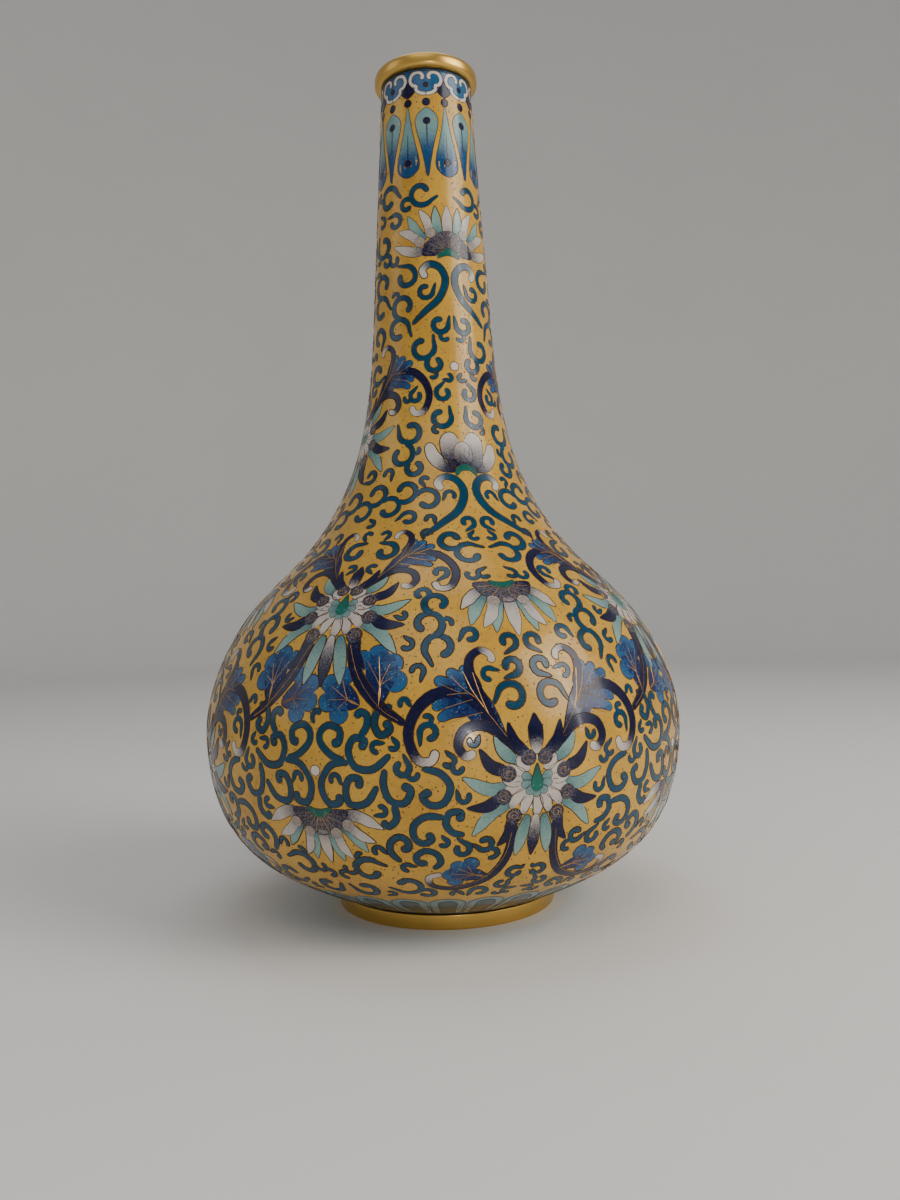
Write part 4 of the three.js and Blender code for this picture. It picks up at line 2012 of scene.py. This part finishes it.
@dataclass
class BodyCoats:
    """Even coats of ground enamel on the copper, and the coats inside.

    Attributes:
        seams: Heights between the coats in millimetres, from the foot to the rim.
        overlap: Length by which the drop band's coat passes its seam with the collar.
        neck_root: Height of the seam inside.
        mouth: Height where the inside coat stops.
        ground: Thickness of a coat outside, in millimetres.
        lining: Thickness of a coat inside.
        wall: Depth of the inside coats' outer face under the outer face of the solids.
    """

    seams: tuple[float, ...] = (20.0, 66.0, 215.0, 324.6, 360.6, 373.05)
    overlap: float = 2.0
    neck_root: float = 204.0
    mouth: float = 372.9
    ground: float = 0.9
    lining: float = 0.7
    wall: float = 2.6

    def build(self) -> list[bpy.types.Object]:
        """Turns the coats.

        Returns:
            The pieces.
        """
        lengths = [0.0, *map(SKIN.length_at_height, self.seams)]
        lengths[-2] += self.overlap
        outside = (("lappet_ground", GREY, "grey_enamel", "lappet_enamel"),
                   ("lower_body_ground", YELLOW, "yellow_enamel", "lower_body_enamel"),
                   ("upper_body_ground", YELLOW, "yellow_enamel", "upper_body_enamel"),
                   ("neck_ground", YELLOW, "yellow_enamel", "neck_enamel"),
                   ("drop_band_ground", YELLOW, "yellow_enamel", "drop_band_enamel"),
                   ("collar_ground", RUYI_BLUE, "collar_blue_enamel", "collar_enamel"))
        pieces = [Turned(name, finish, slot, (node,)).build(coat(low, high, GROUND_DEPTH, self.ground))
                  for (name, finish, slot, node), low, high in zip(outside, lengths, lengths[1:])]
        neck_root, mouth = map(SKIN.length_at_height, (self.neck_root, self.mouth))
        inside = (("body_lining_coat", "body_lining", 3.0, neck_root),
                  ("neck_lining_coat", "neck_lining", neck_root, mouth))
        for name, node, low, high in inside:
            section = coat(low, high, self.wall, self.lining, 5.0)
            pieces.append(Turned(name, TURQUOISE, "turquoise_enamel", (node,)).build(section))
        return pieces


Corner = tuple[float, float, float]


def rounded(corners: Sequence[Corner], steps: int = 5) -> np.ndarray:
    """Closed outline with rounded corners.

    Args:
        corners: Radius, height and corner radius of each corner, in millimetres.
        steps: Number of steps round a corner.

    Returns:
        Rows of radius and height.
    """
    rows: list[tuple[float, float]] = []
    count = len(corners)
    for index, (x, y, bend) in enumerate(corners):
        here = complex(x, y)
        if bend <= 0:
            rows.append((x, y))
            continue
        before = complex(*corners[index - 1][:2]) - here
        after = complex(*corners[(index + 1) % count][:2]) - here
        start = here + before / abs(before) * bend
        stop = here + after / abs(after) * bend
        for share in np.linspace(0, 1, steps + 1):
            point = (1 - share)**2 * start + 2 * share * (1 - share) * here + share**2 * stop
            rows.append((point.real, point.imag))
    return np.array(rows)


@dataclass
class Mounts:
    """Gilt rim and foot ring, and the bottom's enamel.

    Attributes:
        rim: Corners of the rim's section: radius, height and bend in millimetres.
        foot: The same of the foot ring.
        under: The same of the enamel under the bottom.
        inside: The same of the enamel on the bottom inside.
    """

    rim: tuple[Corner, ...] = (
        (16.75, 373.45, 0.3), (16.75, 379.95, 1.5), (23.68, 379.95, 2.9), (23.68, 373.45, 2.6))
    foot: tuple[Corner, ...] = (
        (46.45, 0.0, 0.7), (48.98, 0.0, 0.9), (48.98, 6.28, 0.4), (46.45, 6.28, 0.3))
    under: tuple[Corner, ...] = (
        (0.0, 5.32, 0.0), (46.0, 5.32, 0.4), (46.0, 6.28, 0.2), (0.0, 6.28, 0.0))
    inside: tuple[Corner, ...] = (
        (0.0, 8.12, 0.0), (47.0, 8.12, 0.2), (47.0, 8.98, 0.4), (0.0, 8.98, 0.0))

    def build(self) -> list[bpy.types.Object]:
        """Turns them.

        Returns:
            The pieces.
        """
        rim = Turned("mouth_rim_ring", GILT, "gilt", ("mouth_rim",))
        foot = Turned("foot_ring_band", GILT, "gilt", ("foot_ring",))
        under = Turned("base_coat", TURQUOISE, "turquoise_enamel", ("base_enamel",))
        inside = Turned("base_lining_coat", TURQUOISE, "turquoise_enamel", ("base_lining",))
        return [rim.build(rounded(self.rim, 8)), foot.build(rounded(self.foot)),
                under.build(rounded(self.under)), inside.build(rounded(self.inside))]


# ---------------------------------------------------------------- studio


@dataclass(frozen=True)
class Lamp:
    """A rectangular lamp.

    Attributes:
        name: Its name.
        place: Where it stands, in metres.
        target: Point that it faces.
        size: Width and height in metres.
        power: Power in watts.
        colour: Colour of its light.
    """

    name: str
    place: tuple[float, float, float]
    target: tuple[float, float, float]
    size: tuple[float, float]
    power: float
    colour: Colour = (1.0, 1.0, 1.0)

    def build(self) -> bpy.types.Object:
        """Makes the lamp.

        Returns:
            The light.
        """
        data = bpy.data.lights.new(self.name, "AREA")
        data.shape = "RECTANGLE"
        data.size, data.size_y = self.size
        data.energy = self.power
        data.color = self.colour
        lamp = bpy.data.objects.new(self.name, data)
        lamp.location = self.place
        way = Vector(self.target) - Vector(self.place)
        lamp.rotation_euler = way.to_track_quat("-Z", "Y").to_euler()
        bpy.context.scene.collection.objects.link(lamp)
        return lamp


@dataclass
class Studio:
    """Camera, round cove and lamps.

    Attributes:
        eye: Place of the camera in metres.
        lens: Its focal length in millimetres.
        pitch: Its tilt up from level, in degrees.
        roll: Its turn about its own axis, in degrees.
        shift: Sideways shift of its frame.
        floor: Radius of the cove's flat floor in metres.
        bend: Radius of the curve between its floor and its wall.
        wall: Height of its wall.
        lamps: Its lamps.
    """

    eye: tuple[float, float, float] = (0.0, -0.464, 0.1358)
    lens: float = 30.0
    pitch: float = 0.17
    roll: float = -1.55
    shift: float = 0.0087
    floor: float = 1.7
    bend: float = 0.7
    wall: float = 3.0
    lamps: tuple[Lamp, ...] = (
        Lamp("key", (1.15, -0.55, 0.8), (0.0, 0.0, 0.15), (0.9, 0.9), 14.0, (1.0, 0.95, 0.87)),
        Lamp("front", (-0.2, -1.2, 1.9), (0.0, 0.0, 0.15), (1.3, 1.3), 6.0),
        Lamp("fill", (-1.1, -0.3, 0.7), (0.0, 0.0, 0.15), (0.5, 0.9), 1.2, (0.92, 0.96, 1.0)),
        Lamp("window", (0.17, -0.85, 0.17), (0.0, 0.0, 0.1), (0.045, 0.11), 0.8),
        Lamp("strip", (0.95, -0.5, 0.52), (0.0, 0.0, 0.25), (0.03, 0.8), 1.2),
        Lamp("top", (0.0, 0.3, 1.5), (0.0, 0.0, 0.2), (0.8, 0.8), 3.0))

    def camera(self) -> bpy.types.Object:
        """Makes the camera.

        Returns:
            The camera.
        """
        data = bpy.data.cameras.new("camera")
        data.lens = self.lens
        data.sensor_width = 36.0
        data.shift_x = self.shift
        data.clip_start = 0.01
        data.dof.use_dof = False
        camera = bpy.data.objects.new("camera", data)
        turn = Matrix.Rotation(math.radians(90 + self.pitch), 4, "X")
        turn = turn @ Matrix.Rotation(math.radians(self.roll), 4, "Z")
        camera.matrix_world = Matrix.Translation(self.eye) @ turn
        bpy.context.scene.collection.objects.link(camera)
        bpy.context.scene.camera = camera
        return camera

    def cove(self) -> bpy.types.Object:
        """Makes the floor that curves up into a round wall.

        Returns:
            The cove.
        """
        mesh = bmesh.new()
        line = [mesh.verts.new((0.0, 0.0, 0.0)), mesh.verts.new((self.floor, 0.0, 0.0))]
        for angle in np.radians(np.arange(1, 13) * 7.5):
            across = self.floor + self.bend * math.sin(angle)
            line.append(mesh.verts.new((across, 0.0, self.bend - self.bend * math.cos(angle))))
        line.append(mesh.verts.new((self.floor + self.bend, 0.0, self.wall)))
        for first, second in zip(line, line[1:]):
            mesh.edges.new((first, second))
        bmesh.ops.spin(mesh, geom=[*mesh.verts, *mesh.edges], cent=(0, 0, 0), axis=(0, 0, 1),
                       angle=2 * math.pi, steps=64, use_merge=True)
        bmesh.ops.remove_doubles(mesh, verts=list(mesh.verts), dist=1e-5)
        bmesh.ops.recalc_face_normals(mesh, faces=list(mesh.faces))
        data = bpy.data.meshes.new("cove")
        mesh.to_mesh(data)
        mesh.free()
        data.shade_smooth()
        data.materials.append(Plaster("cove plaster", linear(232, 230, 226)).material())
        cove = bpy.data.objects.new("cove", data)
        bpy.context.scene.collection.objects.link(cove)
        cove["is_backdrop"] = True
        return cove

    def world(self) -> None:
        """Makes a pale sky."""
        world = bpy.data.worlds.new("studio")
        world.use_nodes = True
        sky = world.node_tree.nodes["Background"]
        sky.inputs["Color"].default_value = (0.86, 0.9, 1.0, 1.0)
        sky.inputs["Strength"].default_value = 0.32
        bpy.context.scene.world = world

    def build(self) -> None:
        """Makes the cove, the lamps and the sky."""
        self.cove()
        for lamp in self.lamps:
            lamp.build()
        self.world()


def dress_shells() -> None:
    """Gives the copper walls that stay from the solids their finish."""
    for name in SHELLS:
        shell = frame["nodes"][name]
        shell.data.materials.clear()
        shell.data.materials.append(COPPER.material())


def clear_startup() -> None:
    """Takes away the cube, lamp and camera that a fresh file holds."""
    for name in ("Cube", "Light", "Camera"):
        if name in bpy.data.objects:
            bpy.data.objects.remove(bpy.data.objects[name])


def main() -> None:
    """Builds the vase piece by piece."""
    logging.basicConfig(level=logging.INFO, format="%(name)s: %(message)s")
    clear_startup()
    studio = Studio()
    studio.camera()
    studio.build()
    dress_shells()
    Mounts().build()
    BodyCoats().build()
    belly = BellyDecoration()
    belly.build()
    NeckDecoration().build(belly.scrolls)
    MouthBands().build()
    FootLappets().build()
    bpy.context.view_layer.update()
    boxes = {"cad": CAD_BOX, "model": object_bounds()}
    {name: [list(corner) for corner in box] for name, box in boxes.items()}


if __name__ == "__main__":
    main()
